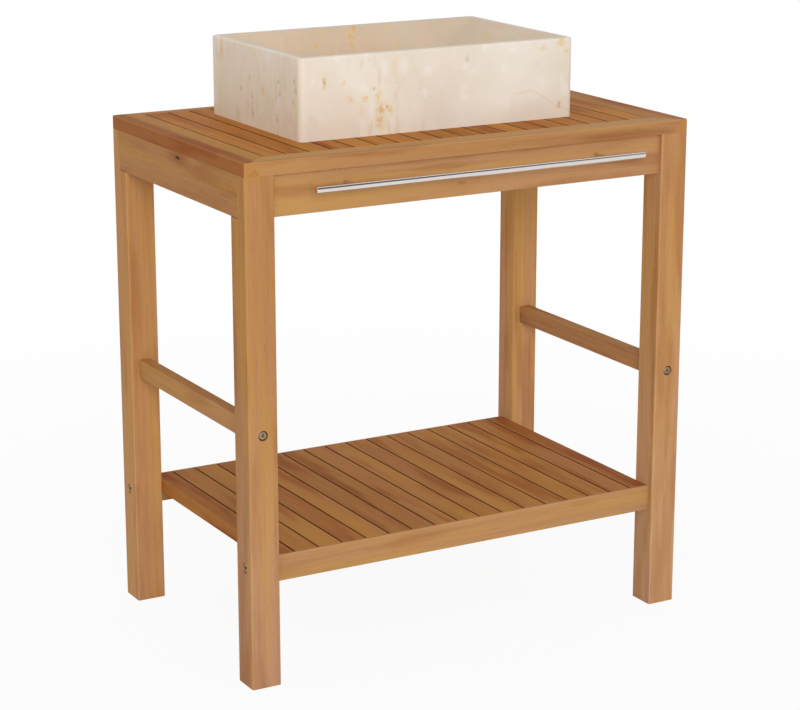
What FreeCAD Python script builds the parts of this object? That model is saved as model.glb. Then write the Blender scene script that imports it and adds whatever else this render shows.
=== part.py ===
import FreeCAD, Part
import math
import os
import Sketcher

# Washstand of slatted hardwood with a loose stone basin.
# Millimetres, +Z up, the front faces -Y. The origin lies on the floor, in the middle of the whole
# outline, which reaches from the front of the towel bar to the backs of the legs.

doc = FreeCAD.newDocument("Washstand")

# Driving sizes
SIZES = (
    ("width", 730, "across the outer faces of the legs"),
    ("depth", 450, "from the front of the front legs to the back of the back legs"),
    ("top_height", 760, "floor to the upper face of the top"),
    ("leg_size", 45, "side of the square legs"),
    ("top_thick", 20, "thickness of the boards of the top"),
    ("edge_wide", 45, "width of the edge boards at both ends of the top"),
    ("front_rail_wide", 35, "width of the top's front rail, front to back"),
    ("back_rail_wide", 18, "width of the top's back rail, front to back"),
    ("mitre_head", 9.5, "edge board's share of the front face at its upper face"),
    ("mitre_foot", 24.5, "edge board's share of the front face at its lower face"),
    ("slat_count", 18, "slats in the top"),
    ("slat_gap", 2, "gap beside every slat"),
    ("tongue_long", 7, "length of the tongues on the top slats"),
    ("tongue_thick", 6, "thickness of the tongues on the top slats"),
    ("apron_tall", 60, "height of the aprons"),
    ("apron_thick", 20, "thickness of the aprons"),
    ("apron_setback", 8, "front and back aprons behind the outer faces of the legs"),
    ("lap_long", 22.5, "how far a side apron laps onto each leg"),
    ("batten_wide", 40, "width of the battens under the slats"),
    ("batten_thick", 20, "thickness of the battens under the top"),
    ("shelf_batten_thick", 12, "thickness of the batten under the shelf"),
    ("shelf_batten_short", 15, "ends of the shelf batten from the shelf's ends"),
    ("shelf_height", 192, "floor to the upper face of the shelf"),
    ("shelf_rail_tall", 39, "height of the shelf rails"),
    ("shelf_rail_thick", 22, "thickness of the shelf rails"),
    ("shelf_setback", 10, "shelf rails behind the outer faces of the legs"),
    ("shelf_lip", 4, "lip of a shelf rail in front of the slat ends"),
    ("shelf_slat_count", 15, "full slats in the shelf"),
    ("shelf_edge_wide", 30.25, "width of the shelf's two edge slats"),
    ("shelf_slat_thick", 20, "thickness of the shelf slats"),
    ("shelf_tongue_thick", 7, "thickness of the shelf slats where they lie on the rails"),
    ("stretcher_height", 361, "floor to the lower face of the stretchers"),
    ("stretcher_tall", 28, "height of the stretchers"),
    ("stretcher_wide", 20, "width of the stretchers"),
    ("edge_round", 2, "rounding of the long edges of the frame's boards"),
    ("slat_round", 0.7, "rounding of the upper edges of the slats"),
    ("bolt_size", 6, "diameter of the bolts"),
    ("bolt_head_wide", 13, "diameter of the bolt heads"),
    ("bolt_head_tall", 4, "height of the bolt heads"),
    ("bolt_head_bevel", 1.2, "bevel round the bolt heads"),
    ("bolt_recess", 2, "bolt heads below the face of the leg"),
    ("bolt_tip", 1, "bolt end past its barrel nut"),
    ("key_size", 5, "hex socket across its flats"),
    ("key_deep", 2.5, "depth of the hex socket"),
    ("head_gap", 1, "clearance round the bolt heads"),
    ("shelf_bolt_drop", 7, "shelf bolts below the seats of the slats"),
    ("barrel_size", 10, "diameter of the barrel nuts"),
    ("barrel_long", 14, "length of the barrel nuts"),
    ("barrel_set", 28, "barrel nuts from the end of their rail"),
    ("dowel_size", 8, "diameter of the large dowels"),
    ("dowel_long", 30, "length of the large dowels"),
    ("dowel_head", 12, "length of an upright corner dowel in the board above it"),
    ("dowel_low", 12, "lower dowel in an apron's end above the apron's lower edge"),
    ("dowel_high", 24, "upper dowel in an apron's end below the apron's upper edge"),
    ("corner_dowel_edge", 13, "upright corner dowels from the inner faces of the legs"),
    ("rail_dowel_in", 30, "outer upright rail dowels from the inner faces of the legs"),
    ("peg_size", 6, "diameter of the small dowels"),
    ("peg_long", 24, "length of the small dowels"),
    ("peg_rise", 5, "small dowels above the lower faces of the stretchers"),
    ("shelf_peg_rise", 12, "small dowels above the lower faces of the shelf rails"),
    ("peg_cover", 1, "wood left between an upright rail dowel and the groove above it"),
    ("fit_gap", 0.1, "clearance all round dowels, bolts and screws"),
    ("lap_screw_size", 4, "diameter of the screws through the legs into the side aprons"),
    ("lap_screw_bite", 14, "how far these screws enter the side aprons"),
    ("lap_screw_rise", 10, "lower lap screw above the lower edge of the apron"),
    ("lap_screw_drop", 12, "upper lap screw below the lower face of the top's battens"),
    ("lap_screw_edge", 9, "lap screws from the side of the leg where the lap ends"),
    ("screw_size", 3.5, "diameter of the slat screws"),
    ("screw_bite", 14, "how far the slat screws enter the slats"),
    ("screw_head_wide", 7.5, "diameter of the screw heads"),
    ("screw_head_tall", 2.5, "height of the screw heads"),
    ("bar_wide", 9, "diameter of the towel bar"),
    ("bar_long", 540, "length of the towel bar"),
    ("bar_reach", 26, "middle of the towel bar in front of the legs"),
    ("bar_drop", 41.5, "middle of the towel bar below the upper face of the top"),
    ("bar_round", 0.8, "rounding of the towel bar's ends"),
    ("post_wide", 6.5, "diameter of the towel bar's posts"),
    ("post_spread", 207, "posts from the middle of the towel bar"),
    ("spigot_wide", 4, "diameter of the spigot that carries the bar"),
    ("spigot_tip", 1.5, "wall of the bar left in front of a spigot"),
    ("bar_screw_size", 4, "diameter of the screws into the posts"),
    ("bar_screw_bite", 12, "how far these screws enter the posts"),
    ("bar_screw_head", 8, "diameter of the heads of these screws"),
    ("bar_screw_sink", 3, "height of the heads of these screws, let into the apron"),
    ("basin_wide", 455, "outside width of the basin"),
    ("basin_deep", 290, "outside depth of the basin"),
    ("basin_tall", 118, "outside height of the basin"),
    ("basin_shift", 22, "middle of the basin behind the middle of the legs"),
    ("basin_floor", 24, "thickness of the basin's floor"),
    ("rim_thick", 17, "width of the basin's rim"),
    ("bowl_flat_wide", 9, "flat floor of the bowl beside the waste's flange, left and right"),
    ("bowl_flat_deep", 13, "flat floor of the bowl before and behind the waste's flange"),
    ("bowl_corner", 26, "radius of the valleys where the bowl's walls meet"),
    ("bowl_foot", 16, "radius between the bowl's walls and its floor"),
    ("basin_corner", 9, "radius of the basin's outer corners"),
    ("rim_round", 3, "rounding of the basin's rim"),
    ("tail_wide", 42, "diameter of the waste's threaded tail"),
    ("tail_wall", 2.5, "wall of the waste's tail"),
    ("tail_relief", 0.5, "tail's plain end, which takes the trap, below the thread all round"),
    ("tail_end_long", 38, "length of the tail's plain end"),
    ("tail_gap", 2, "clearance round the tail in the basin"),
    ("slat_hole_gap", 3, "clearance round the tail in the top"),
    ("waste_long", 100, "length of the waste body"),
    ("flange_wide", 64, "diameter of the waste's flange"),
    ("flange_thick", 3, "thickness of the waste's flange"),
    ("flange_gap", 1, "clearance round the flange in its recess"),
    ("seat_flare", 3.5, "mouth of the waste's bevelled seat outside its bore"),
    ("seat_deep", 4, "depth of the waste's bevelled seat"),
    ("ring_thick", 2, "thickness of the sealing rings"),
    ("ring_inset", 2, "edge of the sealing rings inside the edge of the flange"),
    ("nut_wide", 58, "width of the back nut across its flats"),
    ("nut_tall", 10, "height of the back nut"),
    ("web_deep", 33, "top of the waste's cross web below the flange"),
    ("web_tall", 6, "height of the cross web"),
    ("web_wide", 9, "width of the cross web"),
    ("hub_wide", 14, "diameter of the hub on the cross web"),
    ("stud_wide", 8, "diameter of the cartridge's stud"),
    ("sleeve_wide", 11, "diameter of the cartridge's sleeve"),
    ("sleeve_gap", 4.3, "cartridge's sleeve below the closed plug's skirt"),
    ("stem_wide", 6, "diameter of the plug's stem"),
    ("stem_gap", 0.4, "clearance all round the plug's stem"),
    ("stem_long", 20, "length of the plug's stem below its cap"),
    ("cap_wide", 60, "diameter of the plug's cap"),
    ("cap_edge", 2.5, "thickness of the cap at its edge"),
    ("cap_crown", 3, "rise of the cap's crown above its edge"),
    ("cap_bevel", 0.8, "bevel round the cap's edge"),
    ("cap_gap", 0.3, "closed plug above the flange"),
    ("skirt_deep", 3, "height of the skirt and of the plug's seal"),
    ("seal_thick", 4, "width of the plug's seal round its skirt"),
    ("seal_gap", 0.5, "clearance all round the plug's seal in the waste"),
)

sheet = doc.addObject("Spreadsheet::Sheet", "Sizes")
for row, (alias, number, note) in enumerate(SIZES, start=1):
    sheet.set(f"A{row}", note)
    sheet.set(f"B{row}", str(number))
    sheet.setAlias(f"B{row}", alias)
doc.recompute()

# Main faces of the stand, as rules on the sheet
LEFT = "(-Sizes.width / 2)"
RIGHT = "(Sizes.width / 2)"
FRONT = "(-(Sizes.depth - Sizes.bar_reach - Sizes.bar_wide / 2) / 2)"
BACK = f"({FRONT} + Sizes.depth)"
TOP = "Sizes.top_height"
UNDER_TOP = "(Sizes.top_height - Sizes.top_thick)"
APRON_FOOT = f"({UNDER_TOP} - Sizes.apron_tall)"
INNER_LEFT = f"({LEFT} + Sizes.leg_size)"
INNER_WIDE = "(Sizes.width - 2 * Sizes.leg_size)"
BASIN_Y = f"({FRONT} + Sizes.depth / 2 + Sizes.basin_shift)"

AXIS_TURNS = {
    "x": FreeCAD.Rotation(FreeCAD.Vector(0, 1, 0), 90),
    "y": FreeCAD.Rotation(FreeCAD.Vector(1, 0, 0), -90),
    "z": FreeCAD.Rotation(),
}

nodes = []


def node(piece, label):
    """Keep a finished piece under the name that people use for it."""
    piece.Label = label
    nodes.append(piece)
    return piece


def place(piece, corner):
    for letter, rule in zip("xyz", corner):
        piece.setExpression(f"Placement.Base.{letter}", rule)


def block(name, size, corner):
    """A rectangular block from its lowest corner."""
    piece = doc.addObject("Part::Box", name)
    for side, rule in zip(("Length", "Width", "Height"), size):
        piece.setExpression(side, rule)
    place(piece, corner)
    return piece


def rod(name, axis, across, length, start):
    """A round rod that runs along +X, +Y or +Z from the middle of its first end."""
    piece = doc.addObject("Part::Cylinder", name)
    piece.setExpression("Radius", f"({across}) / 2")
    piece.setExpression("Height", length)
    piece.Placement = FreeCAD.Placement(FreeCAD.Vector(), AXIS_TURNS[axis])
    place(piece, start)
    return piece


def step_in(spot, axis, way, distance):
    """The spot moved along an axis, the given way."""
    moved = list(spot)
    number = "xyz".index(axis)
    sign = "+" if way > 0 else "-"
    moved[number] = f"({spot[number]}) {sign} ({distance})"
    return tuple(moved)


def drive(name, axis, way, across, length, spot):
    """A rod of which one end is at the spot and which points up (+1) or down (-1) its axis."""
    start = spot if way > 0 else step_in(spot, axis, way, length)
    return rod(name, axis, across, length, start)


def group(name, members):
    piece = doc.addObject("Part::Compound", name)
    piece.Links = members
    return piece


def joined(name, members):
    piece = doc.addObject("Part::MultiFuse", name)
    piece.Shapes = members
    return piece


def cut(name, base, tools):
    """The base less its tools, which lie clear of each other."""
    piece = doc.addObject("Part::Cut", name)
    piece.Base = base
    piece.Tool = tools[0] if len(tools) == 1 else group(f"{name}_tools", tools)
    return piece


def body(name, corner):
    piece = doc.addObject("PartDesign::Body", name)
    place(piece, corner)
    return piece


def datum(piece, role):
    return next(item for item in piece.Origin.OriginFeatures if item.Role == role)


def sketch_on(piece, role, name, lift):
    sketch = piece.newObject("Sketcher::SketchObject", name)
    sketch.AttachmentSupport = (datum(piece, role), [""])
    sketch.MapMode = "FlatFace"
    if lift:
        sketch.setExpression("AttachmentOffset.Base.z", lift)
    return sketch


def pin_point(sketch, line, point, spot):
    """Hold one point of a sketch at its two rules, measured from the sketch's origin."""
    for kind, rule in zip(("DistanceX", "DistanceY"), spot):
        index = sketch.addConstraint(Sketcher.Constraint(kind, -1, 1, line, point, 1.0))
        sketch.setExpression(f"Constraints[{index}]", rule)


def outline(piece, role, name, points, lift=None):
    """A closed outline of straight sides, each corner held by its two rules."""
    sketch = sketch_on(piece, role, name, lift)
    count = len(points)
    turns = [2 * math.pi * (step + 0.3) / count for step in range(count)]
    ring = [FreeCAD.Vector(math.cos(turn), math.sin(turn), 0) for turn in turns]
    for step in range(count):
        sketch.addGeometry(Part.LineSegment(ring[step], ring[(step + 1) % count]))
    for step in range(count):
        sketch.addConstraint(Sketcher.Constraint("Coincident", step, 2, (step + 1) % count, 1))
    for step, spot in enumerate(points):
        pin_point(sketch, step, 1, spot)
    return sketch


def circles(piece, role, name, across, centres, lift=None):
    sketch = sketch_on(piece, role, name, lift)
    for index, centre in enumerate(centres):
        round_line = Part.Circle(FreeCAD.Vector(), FreeCAD.Vector(0, 0, 1), 1)
        sketch.addGeometry(round_line)
        size = sketch.addConstraint(Sketcher.Constraint("Diameter", index, 2.0))
        sketch.setExpression(f"Constraints[{size}]", across)
        pin_point(sketch, index, 3, centre)
    return sketch


def rectangle(left, low, right, high):
    return [(left, low), (right, low), (right, high), (left, high)]


def pad(piece, name, sketch, length, back=False):
    feature = piece.newObject("PartDesign::Pad", name)
    feature.Profile = sketch
    feature.Reversed = back
    feature.setExpression("Length", length)
    return feature


def pocket(piece, name, sketch, length, back=False):
    feature = piece.newObject("PartDesign::Pocket", name)
    feature.Profile = sketch
    feature.Reversed = back
    feature.setExpression("Length", length)
    return feature


def rounded(piece, name, base, size, wanted):
    """Round the edges of a feature that the test picks out by their two ends."""
    doc.recompute()
    names = []
    for index, edge in enumerate(base.Shape.Edges, start=1):
        ends = [vertex.Point for vertex in edge.Vertexes]
        if len(ends) == 2 and wanted(*ends):
            names.append(f"Edge{index}")
    feature = piece.newObject("PartDesign::Fillet", name)
    feature.Base = (base, names)
    feature.setExpression("Radius", size)
    return feature


def runs_along(axis, level_axis=None, level=None):
    """A test for the edges along an axis, all of them or those at one level of another axis."""
    def wanted(first, last):
        span = last - first
        straight = span.Length - abs(getattr(span, axis)) < sheet.fit_gap
        if level is None:
            return straight
        return straight and abs(getattr(first, level_axis) - level) < sheet.fit_gap
    return wanted


def off_the_foot(wanted):
    """The same test, without the edges of the underside, which stay crisp against what is below."""
    return lambda first, last: max(first.z, last.z) > sheet.fit_gap and wanted(first, last)


def board(name, size, corner, wanted):
    """A sawn board from its lowest corner, with the wanted edges eased."""
    piece = body(name, corner)
    plan = outline(piece, "XY_Plane", f"{name}_plan", rectangle("0", "0", size[0], size[1]))
    stick = pad(piece, f"{name}_stick", plan, size[2])
    rounded(piece, f"{name}_eased", stick, "Sizes.edge_round", wanted)
    return piece


def turned(name, corner, points):
    """A body turned about its upright axis from half of its section, radius first."""
    piece = body(name, corner)
    section = outline(piece, "XZ_Plane", f"{name}_section", points)
    feature = piece.newObject("PartDesign::Revolution", f"{name}_turn")
    feature.Profile = section
    feature.ReferenceAxis = (section, ["V_Axis"])
    feature.Angle = 360
    return piece


def along_x(piece, name, features, pitch, count):
    """Repeat features along +X at an even pitch."""
    pattern = piece.newObject("PartDesign::LinearPattern", name)
    pattern.Originals = features
    pattern.Direction = (datum(piece, "X_Axis"), [""])
    pattern.setExpression("Length", f"({pitch}) * ({count} - 1)")
    pattern.setExpression("Occurrences", count)
    piece.Tip = pattern
    return pattern


# The four corners: which way is inward along X and along Y, and the outer faces there
CORNERS = {
    "front_left": (1, 1, LEFT, FRONT),
    "front_right": (-1, 1, RIGHT, FRONT),
    "back_left": (1, -1, LEFT, BACK),
    "back_right": (-1, -1, RIGHT, BACK),
}


def inward(face, way, distance):
    """The place at a distance inward from an outer face."""
    return f"({face} {'+' if way > 0 else '-'} ({distance}))"


def low_side(face, way, distance, length):
    """The lower end of a stretch that starts at a distance inward from an outer face."""
    start = inward(face, way, distance)
    return start if way > 0 else f"({start} - ({length}))"


# Shared rules of the joints
STRETCHER_BOLT_Z = "(Sizes.stretcher_height + Sizes.stretcher_tall / 2)"
SHELF_BOLT_Z = "(Sizes.shelf_height - Sizes.shelf_tongue_thick - Sizes.shelf_bolt_drop)"
PEG_Z = "(Sizes.stretcher_height + Sizes.peg_rise)"
SHELF_PEG_Z = "(Sizes.shelf_height - Sizes.shelf_rail_tall + Sizes.shelf_peg_rise)"
SHELF_BOLT_IN = "(Sizes.shelf_setback + Sizes.shelf_rail_thick / 2)"
HEAD_SEAT = "(Sizes.bolt_head_tall + Sizes.bolt_recess)"
BOLT_LONG = (f"(Sizes.leg_size - {HEAD_SEAT} + Sizes.barrel_set + Sizes.barrel_size / 2"
             " + Sizes.bolt_tip)")
BOLT_BORE = "(Sizes.bolt_size + 2 * Sizes.fit_gap)"
HEAD_BORE = "(Sizes.bolt_head_wide + 2 * Sizes.head_gap)"
DOWEL_BORE = "(Sizes.dowel_size + 2 * Sizes.fit_gap)"
PEG_BORE = "(Sizes.peg_size + 2 * Sizes.fit_gap)"
LAP_BORE = "(Sizes.lap_screw_size + 2 * Sizes.fit_gap)"
HALF_DOWEL = "(Sizes.dowel_long / 2)"
HALF_PEG = "(Sizes.peg_long / 2)"
DOWEL_FOOT = "(Sizes.dowel_long - Sizes.dowel_head)"
APRON_DOWEL_Z = [f"({APRON_FOOT} + Sizes.dowel_low)", f"({UNDER_TOP} - Sizes.dowel_high)"]
APRON_IN = "(Sizes.apron_setback + Sizes.apron_thick / 2)"
LAP_Z = [f"({APRON_FOOT} + Sizes.lap_screw_rise)",
         f"({UNDER_TOP} - Sizes.batten_thick - Sizes.lap_screw_drop)"]
LAP_IN = "(Sizes.leg_size - Sizes.lap_screw_edge)"
CORNER_IN = "(Sizes.leg_size - Sizes.corner_dowel_edge)"

bolts = []
barrel_nuts = []
dowels = []
pegs = []
lap_screws = []


def socket_bolt(name, axis, way, face_spot):
    """A bolt whose head lies just below the face at the spot, with its barrel nut."""
    head_spot = step_in(face_spot, axis, way, "Sizes.bolt_recess")
    rim_spot = step_in(head_spot, axis, way, "Sizes.bolt_head_bevel")
    seat_spot = step_in(face_spot, axis, way, HEAD_SEAT)
    head = drive(f"{name}_head", axis, way, "Sizes.bolt_head_wide",
                 "Sizes.bolt_head_tall - Sizes.bolt_head_bevel", rim_spot)
    bevel = doc.addObject("Part::Cone", f"{name}_bevel")
    bevel.Placement = FreeCAD.Placement(FreeCAD.Vector(), AXIS_TURNS[axis])
    radii = ["Sizes.bolt_head_wide / 2 - Sizes.bolt_head_bevel", "Sizes.bolt_head_wide / 2"][::way]
    bevel.setExpression("Radius1", radii[0])
    bevel.setExpression("Radius2", radii[1])
    bevel.setExpression("Height", "Sizes.bolt_head_bevel")
    place(bevel, head_spot if way > 0 else rim_spot)
    shank = drive(f"{name}_shank", axis, way, "Sizes.bolt_size", BOLT_LONG, seat_spot)
    key = doc.addObject("Part::Prism", f"{name}_key")
    key.Polygon = 6
    key.setExpression("Circumradius", "Sizes.key_size / sqrt(3)")
    key.setExpression("Height", "Sizes.key_deep")
    key.Placement = FreeCAD.Placement(FreeCAD.Vector(), AXIS_TURNS[axis])
    key_spot = head_spot if way > 0 else step_in(head_spot, axis, way, "Sizes.key_deep")
    place(key, key_spot)
    bolts.append(cut(name, joined(f"{name}_blank", [head, bevel, shank]), [key]))


def barrel_nut(name, bolt_axis, own_axis, middle):
    """A barrel nut across the end of a bolt, drilled through for it."""
    start = step_in(middle, own_axis, -1, "Sizes.barrel_long / 2")
    barrel = rod(f"{name}_blank", own_axis, "Sizes.barrel_size", "Sizes.barrel_long", start)
    bore_start = step_in(middle, bolt_axis, -1, "Sizes.barrel_size")
    bore = rod(f"{name}_bore", bolt_axis, BOLT_BORE, "2 * Sizes.barrel_size", bore_start)
    barrel_nuts.append(cut(name, barrel, [bore]))


# Legs: square posts, notched on their outer sides for the side aprons, counterbored for the bolts
for corner, (way_x, way_y, face_x, face_y) in CORNERS.items():
    leg = f"leg_{corner}"
    middle_x = inward(face_x, way_x, "Sizes.leg_size / 2")
    middle_y = inward(face_y, way_y, "Sizes.leg_size / 2")
    inner_x = inward(face_x, way_x, "Sizes.leg_size")
    inner_y = inward(face_y, way_y, "Sizes.leg_size")
    apron_y = inward(face_y, way_y, APRON_IN)
    shelf_y = inward(face_y, way_y, SHELF_BOLT_IN)
    lap_y = inward(face_y, way_y, LAP_IN)
    post = board(f"{leg}_blank", ("Sizes.leg_size", "Sizes.leg_size", UNDER_TOP),
                 (low_side(face_x, way_x, "0", "Sizes.leg_size"),
                  low_side(face_y, way_y, "0", "Sizes.leg_size"), "0"), runs_along("z"))
    notch = block(f"{leg}_lap", ("Sizes.apron_thick", "Sizes.lap_long", "Sizes.apron_tall"),
                  (low_side(face_x, way_x, "0", "Sizes.apron_thick"),
                   low_side(face_y, way_y, "Sizes.leg_size - Sizes.lap_long", "Sizes.lap_long"),
                   APRON_FOOT))
    stretcher_spot = (middle_x, face_y, STRETCHER_BOLT_Z)
    shelf_spot = (face_x, shelf_y, SHELF_BOLT_Z)
    tools = [notch]
    for use, axis, way, spot in (("stretcher", "y", way_y, stretcher_spot),
                                 ("shelf", "x", way_x, shelf_spot)):
        wide = drive(f"{leg}_{use}_sink", axis, way, HEAD_BORE, HEAD_SEAT, spot)
        narrow = drive(f"{leg}_{use}_bore", axis, way, BOLT_BORE, "Sizes.leg_size", spot)
        tools.append(joined(f"{leg}_{use}_hole", [wide, narrow]))
        socket_bolt(f"bolt_{use}_{corner}", axis, way, spot)
    peg_spot = (middle_x, inner_y, PEG_Z)
    tools.append(drive(f"{leg}_peg_y", "y", -way_y, PEG_BORE, HALF_PEG, peg_spot))
    peg_start = step_in(peg_spot, "y", -1, HALF_PEG)
    pegs.append(rod(f"peg_stretcher_{corner}", "y", "Sizes.peg_size", "Sizes.peg_long", peg_start))
    peg_spot = (inner_x, shelf_y, SHELF_PEG_Z)
    tools.append(drive(f"{leg}_peg_x", "x", -way_x, PEG_BORE, HALF_PEG, peg_spot))
    peg_start = step_in(peg_spot, "x", -1, HALF_PEG)
    pegs.append(rod(f"peg_shelf_{corner}", "x", "Sizes.peg_size", "Sizes.peg_long", peg_start))
    for level, height in enumerate(APRON_DOWEL_Z):
        spot = (inner_x, apron_y, height)
        tools.append(drive(f"{leg}_dowel_{level}", "x", -way_x, DOWEL_BORE, HALF_DOWEL, spot))
        start = step_in(spot, "x", -1, HALF_DOWEL)
        dowels.append(rod(f"dowel_apron_{corner}_{level}", "x", "Sizes.dowel_size",
                          "Sizes.dowel_long", start))
    for level, height in enumerate(LAP_Z):
        spot = (inner_x, lap_y, height)
        web = "(Sizes.leg_size - Sizes.apron_thick)"
        tools.append(drive(f"{leg}_screw_{level}", "x", -way_x, LAP_BORE, web, spot))
        head = drive(f"lap_head_{corner}_{level}", "x", way_x, "Sizes.screw_head_wide",
                     "Sizes.screw_head_tall", spot)
        shank = drive(f"lap_shank_{corner}_{level}", "x", -way_x, "Sizes.lap_screw_size",
                      f"{web} + Sizes.lap_screw_bite", spot)
        lap_screws.append(joined(f"lap_screw_{corner}_{level}", [head, shank]))
    dowel_x = inward(face_x, way_x, CORNER_IN)
    dowel_y = inward(face_y, way_y, CORNER_IN)
    spot = (dowel_x, dowel_y, f"{UNDER_TOP} - {DOWEL_FOOT}")
    tools.append(rod(f"{leg}_dowel_top", "z", DOWEL_BORE, DOWEL_FOOT, spot))
    dowels.append(rod(f"dowel_top_{corner}", "z", "Sizes.dowel_size", "Sizes.dowel_long", spot))
    node(cut(leg, post, tools), leg)

# Upright dowels of the front rail, along its length
RAIL_DOWEL_OUT = f"({INNER_WIDE} / 2 - Sizes.rail_dowel_in)"
RAIL_DOWEL_X = (f"-{RAIL_DOWEL_OUT}", "0", RAIL_DOWEL_OUT)
BAR_Z = "(Sizes.top_height - Sizes.bar_drop)"
POST_X = {"left": "-Sizes.post_spread", "right": "Sizes.post_spread"}
BAR_SCREW_BORE = "(Sizes.bar_screw_size + 2 * Sizes.fit_gap)"
BACK_RAIL_FRONT = f"({BACK} - Sizes.back_rail_wide)"
BACK_APRON_BACK = f"({BACK} - Sizes.apron_setback)"
BACK_PEG_Y = f"(({BACK_RAIL_FRONT} + {BACK_APRON_BACK}) / 2)"
RAIL_HEAD = "((Sizes.top_thick - Sizes.tongue_thick) / 2 - Sizes.peg_cover)"
RAIL_DOWEL_FOOT = f"(Sizes.dowel_long - {RAIL_HEAD})"
PEG_FOOT = f"(Sizes.peg_long - {RAIL_HEAD})"

# Front and back aprons: boards between the legs, dowelled at their ends and to the rails above
for side, way_y, face_y in (("front", 1, FRONT), ("back", -1, BACK)):
    apron = f"apron_{side}"
    blank = board(f"{apron}_blank", (INNER_WIDE, "Sizes.apron_thick", "Sizes.apron_tall"),
                  (INNER_LEFT, low_side(face_y, way_y, "Sizes.apron_setback", "Sizes.apron_thick"),
                   APRON_FOOT), runs_along("x", "z", 0))
    tools = []
    for level, height in enumerate(APRON_DOWEL_Z):
        for end, way_x, face_x in (("left", 1, LEFT), ("right", -1, RIGHT)):
            spot = (inward(face_x, way_x, "Sizes.leg_size"), inward(face_y, way_y, APRON_IN), height)
            tools.append(drive(f"{apron}_{end}_{level}", "x", way_x, DOWEL_BORE, HALF_DOWEL, spot))
    for step, along in enumerate(RAIL_DOWEL_X):
        if side == "front":
            spot = (along, inward(face_y, way_y, APRON_IN), f"{UNDER_TOP} - {RAIL_DOWEL_FOOT}")
            tools.append(rod(f"{apron}_up_{step}", "z", DOWEL_BORE, RAIL_DOWEL_FOOT, spot))
            dowels.append(rod(f"dowel_rail_{step}", "z", "Sizes.dowel_size", "Sizes.dowel_long", spot))
        else:
            spot = (along, BACK_PEG_Y, f"{UNDER_TOP} - {PEG_FOOT}")
            tools.append(rod(f"{apron}_up_{step}", "z", PEG_BORE, PEG_FOOT, spot))
            pegs.append(rod(f"peg_rail_{step}", "z", "Sizes.peg_size", "Sizes.peg_long", spot))
    if side == "front":
        inner_face = f"({FRONT} + Sizes.apron_setback + Sizes.apron_thick)"
        for end, along in POST_X.items():
            spot = (along, inner_face, BAR_Z)
            sink = drive(f"{apron}_sink_{end}", "y", -1, "Sizes.bar_screw_head + 2 * Sizes.fit_gap",
                         "Sizes.bar_screw_sink", spot)
            bore = drive(f"{apron}_bore_{end}", "y", -1, BAR_SCREW_BORE, "Sizes.apron_thick", spot)
            tools.append(joined(f"{apron}_hole_{end}", [sink, bore]))
    node(cut(apron, blank, tools), apron)

# Side aprons: boards flush with the outer faces of the legs, their ends lapped into them
for side, way_x, face_x in (("left", 1, LEFT), ("right", -1, RIGHT)):
    apron = f"apron_{side}"
    lap_start = "(Sizes.leg_size - Sizes.lap_long)"
    blank = board(f"{apron}_blank", ("Sizes.apron_thick", f"Sizes.depth - 2 * {lap_start}",
                                     "Sizes.apron_tall"),
                  (low_side(face_x, way_x, "0", "Sizes.apron_thick"),
                   inward(FRONT, 1, lap_start), APRON_FOOT), runs_along("y", "z", 0))
    tools = []
    for end, way_y, face_y in (("front", 1, FRONT), ("back", -1, BACK)):
        for level, height in enumerate(LAP_Z):
            spot = (inward(face_x, way_x, "Sizes.apron_thick"),
                    inward(face_y, way_y, LAP_IN), height)
            tools.append(drive(f"{apron}_{end}_{level}", "x", -way_x, LAP_BORE,
                               "Sizes.lap_screw_bite", spot))
    node(cut(apron, blank, tools), apron)

# Top edge boards: full depth over the legs, the front ends cut to a leaning 45 degree mitre
CLEAR = "(2 * Sizes.edge_round)"
for side, way_x, face_x in (("left", 1, LEFT), ("right", -1, RIGHT)):
    edge = f"top_edge_{side}"
    corner = (low_side(face_x, way_x, "0", "Sizes.edge_wide"), FRONT, UNDER_TOP)
    mitred = body(f"{edge}_mitred", corner)

    def across(distance):
        return distance if way_x > 0 else f"Sizes.edge_wide - ({distance})"

    sections = []
    for level, share in (("foot", "Sizes.mitre_foot"), ("head", "Sizes.mitre_head")):
        corners = [(f"-{CLEAR}", f"-{CLEAR}"), (f"{share} - {CLEAR}", f"-{CLEAR}"),
                   ("Sizes.edge_wide", f"Sizes.edge_wide - {share}"),
                   ("Sizes.edge_wide", f"Sizes.depth + {CLEAR}"),
                   (f"-{CLEAR}", f"Sizes.depth + {CLEAR}")]
        points = [(across(x), y) for x, y in corners]
        lift = "Sizes.top_thick" if level == "head" else None
        sections.append(outline(mitred, "XY_Plane", f"{edge}_{level}", points, lift))
    loft = mitred.newObject("PartDesign::AdditiveLoft", f"{edge}_loft")
    loft.Profile = sections[0]
    loft.Sections = [sections[1]]
    loft.Ruled = True
    outer_x = 0 if way_x > 0 else sheet.edge_wide

    def on_outline(first, last):
        level = abs(first.z - last.z) < sheet.fit_gap
        at_side = max(abs(first.x - outer_x), abs(last.x - outer_x)) < sheet.fit_gap
        at_front = max(first.y, last.y) < sheet.fit_gap
        at_back = min(first.y, last.y) > sheet.depth - sheet.fit_gap
        return at_side or level and (at_front or at_back)

    blank = doc.addObject("Part::Common", f"{edge}_blank")
    blank.Base = board(f"{edge}_board", ("Sizes.edge_wide", "Sizes.depth", "Sizes.top_thick"),
                       corner, off_the_foot(on_outline))
    blank.Tool = mitred
    tools = []
    for end, way_y, face_y in (("front", 1, FRONT), ("back", -1, BACK)):
        spot = (inward(face_x, way_x, CORNER_IN),
                inward(face_y, way_y, CORNER_IN), UNDER_TOP)
        tools.append(rod(f"{edge}_dowel_{end}", "z", DOWEL_BORE, "Sizes.dowel_head", spot))
    node(cut(edge, blank, tools), edge)

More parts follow.
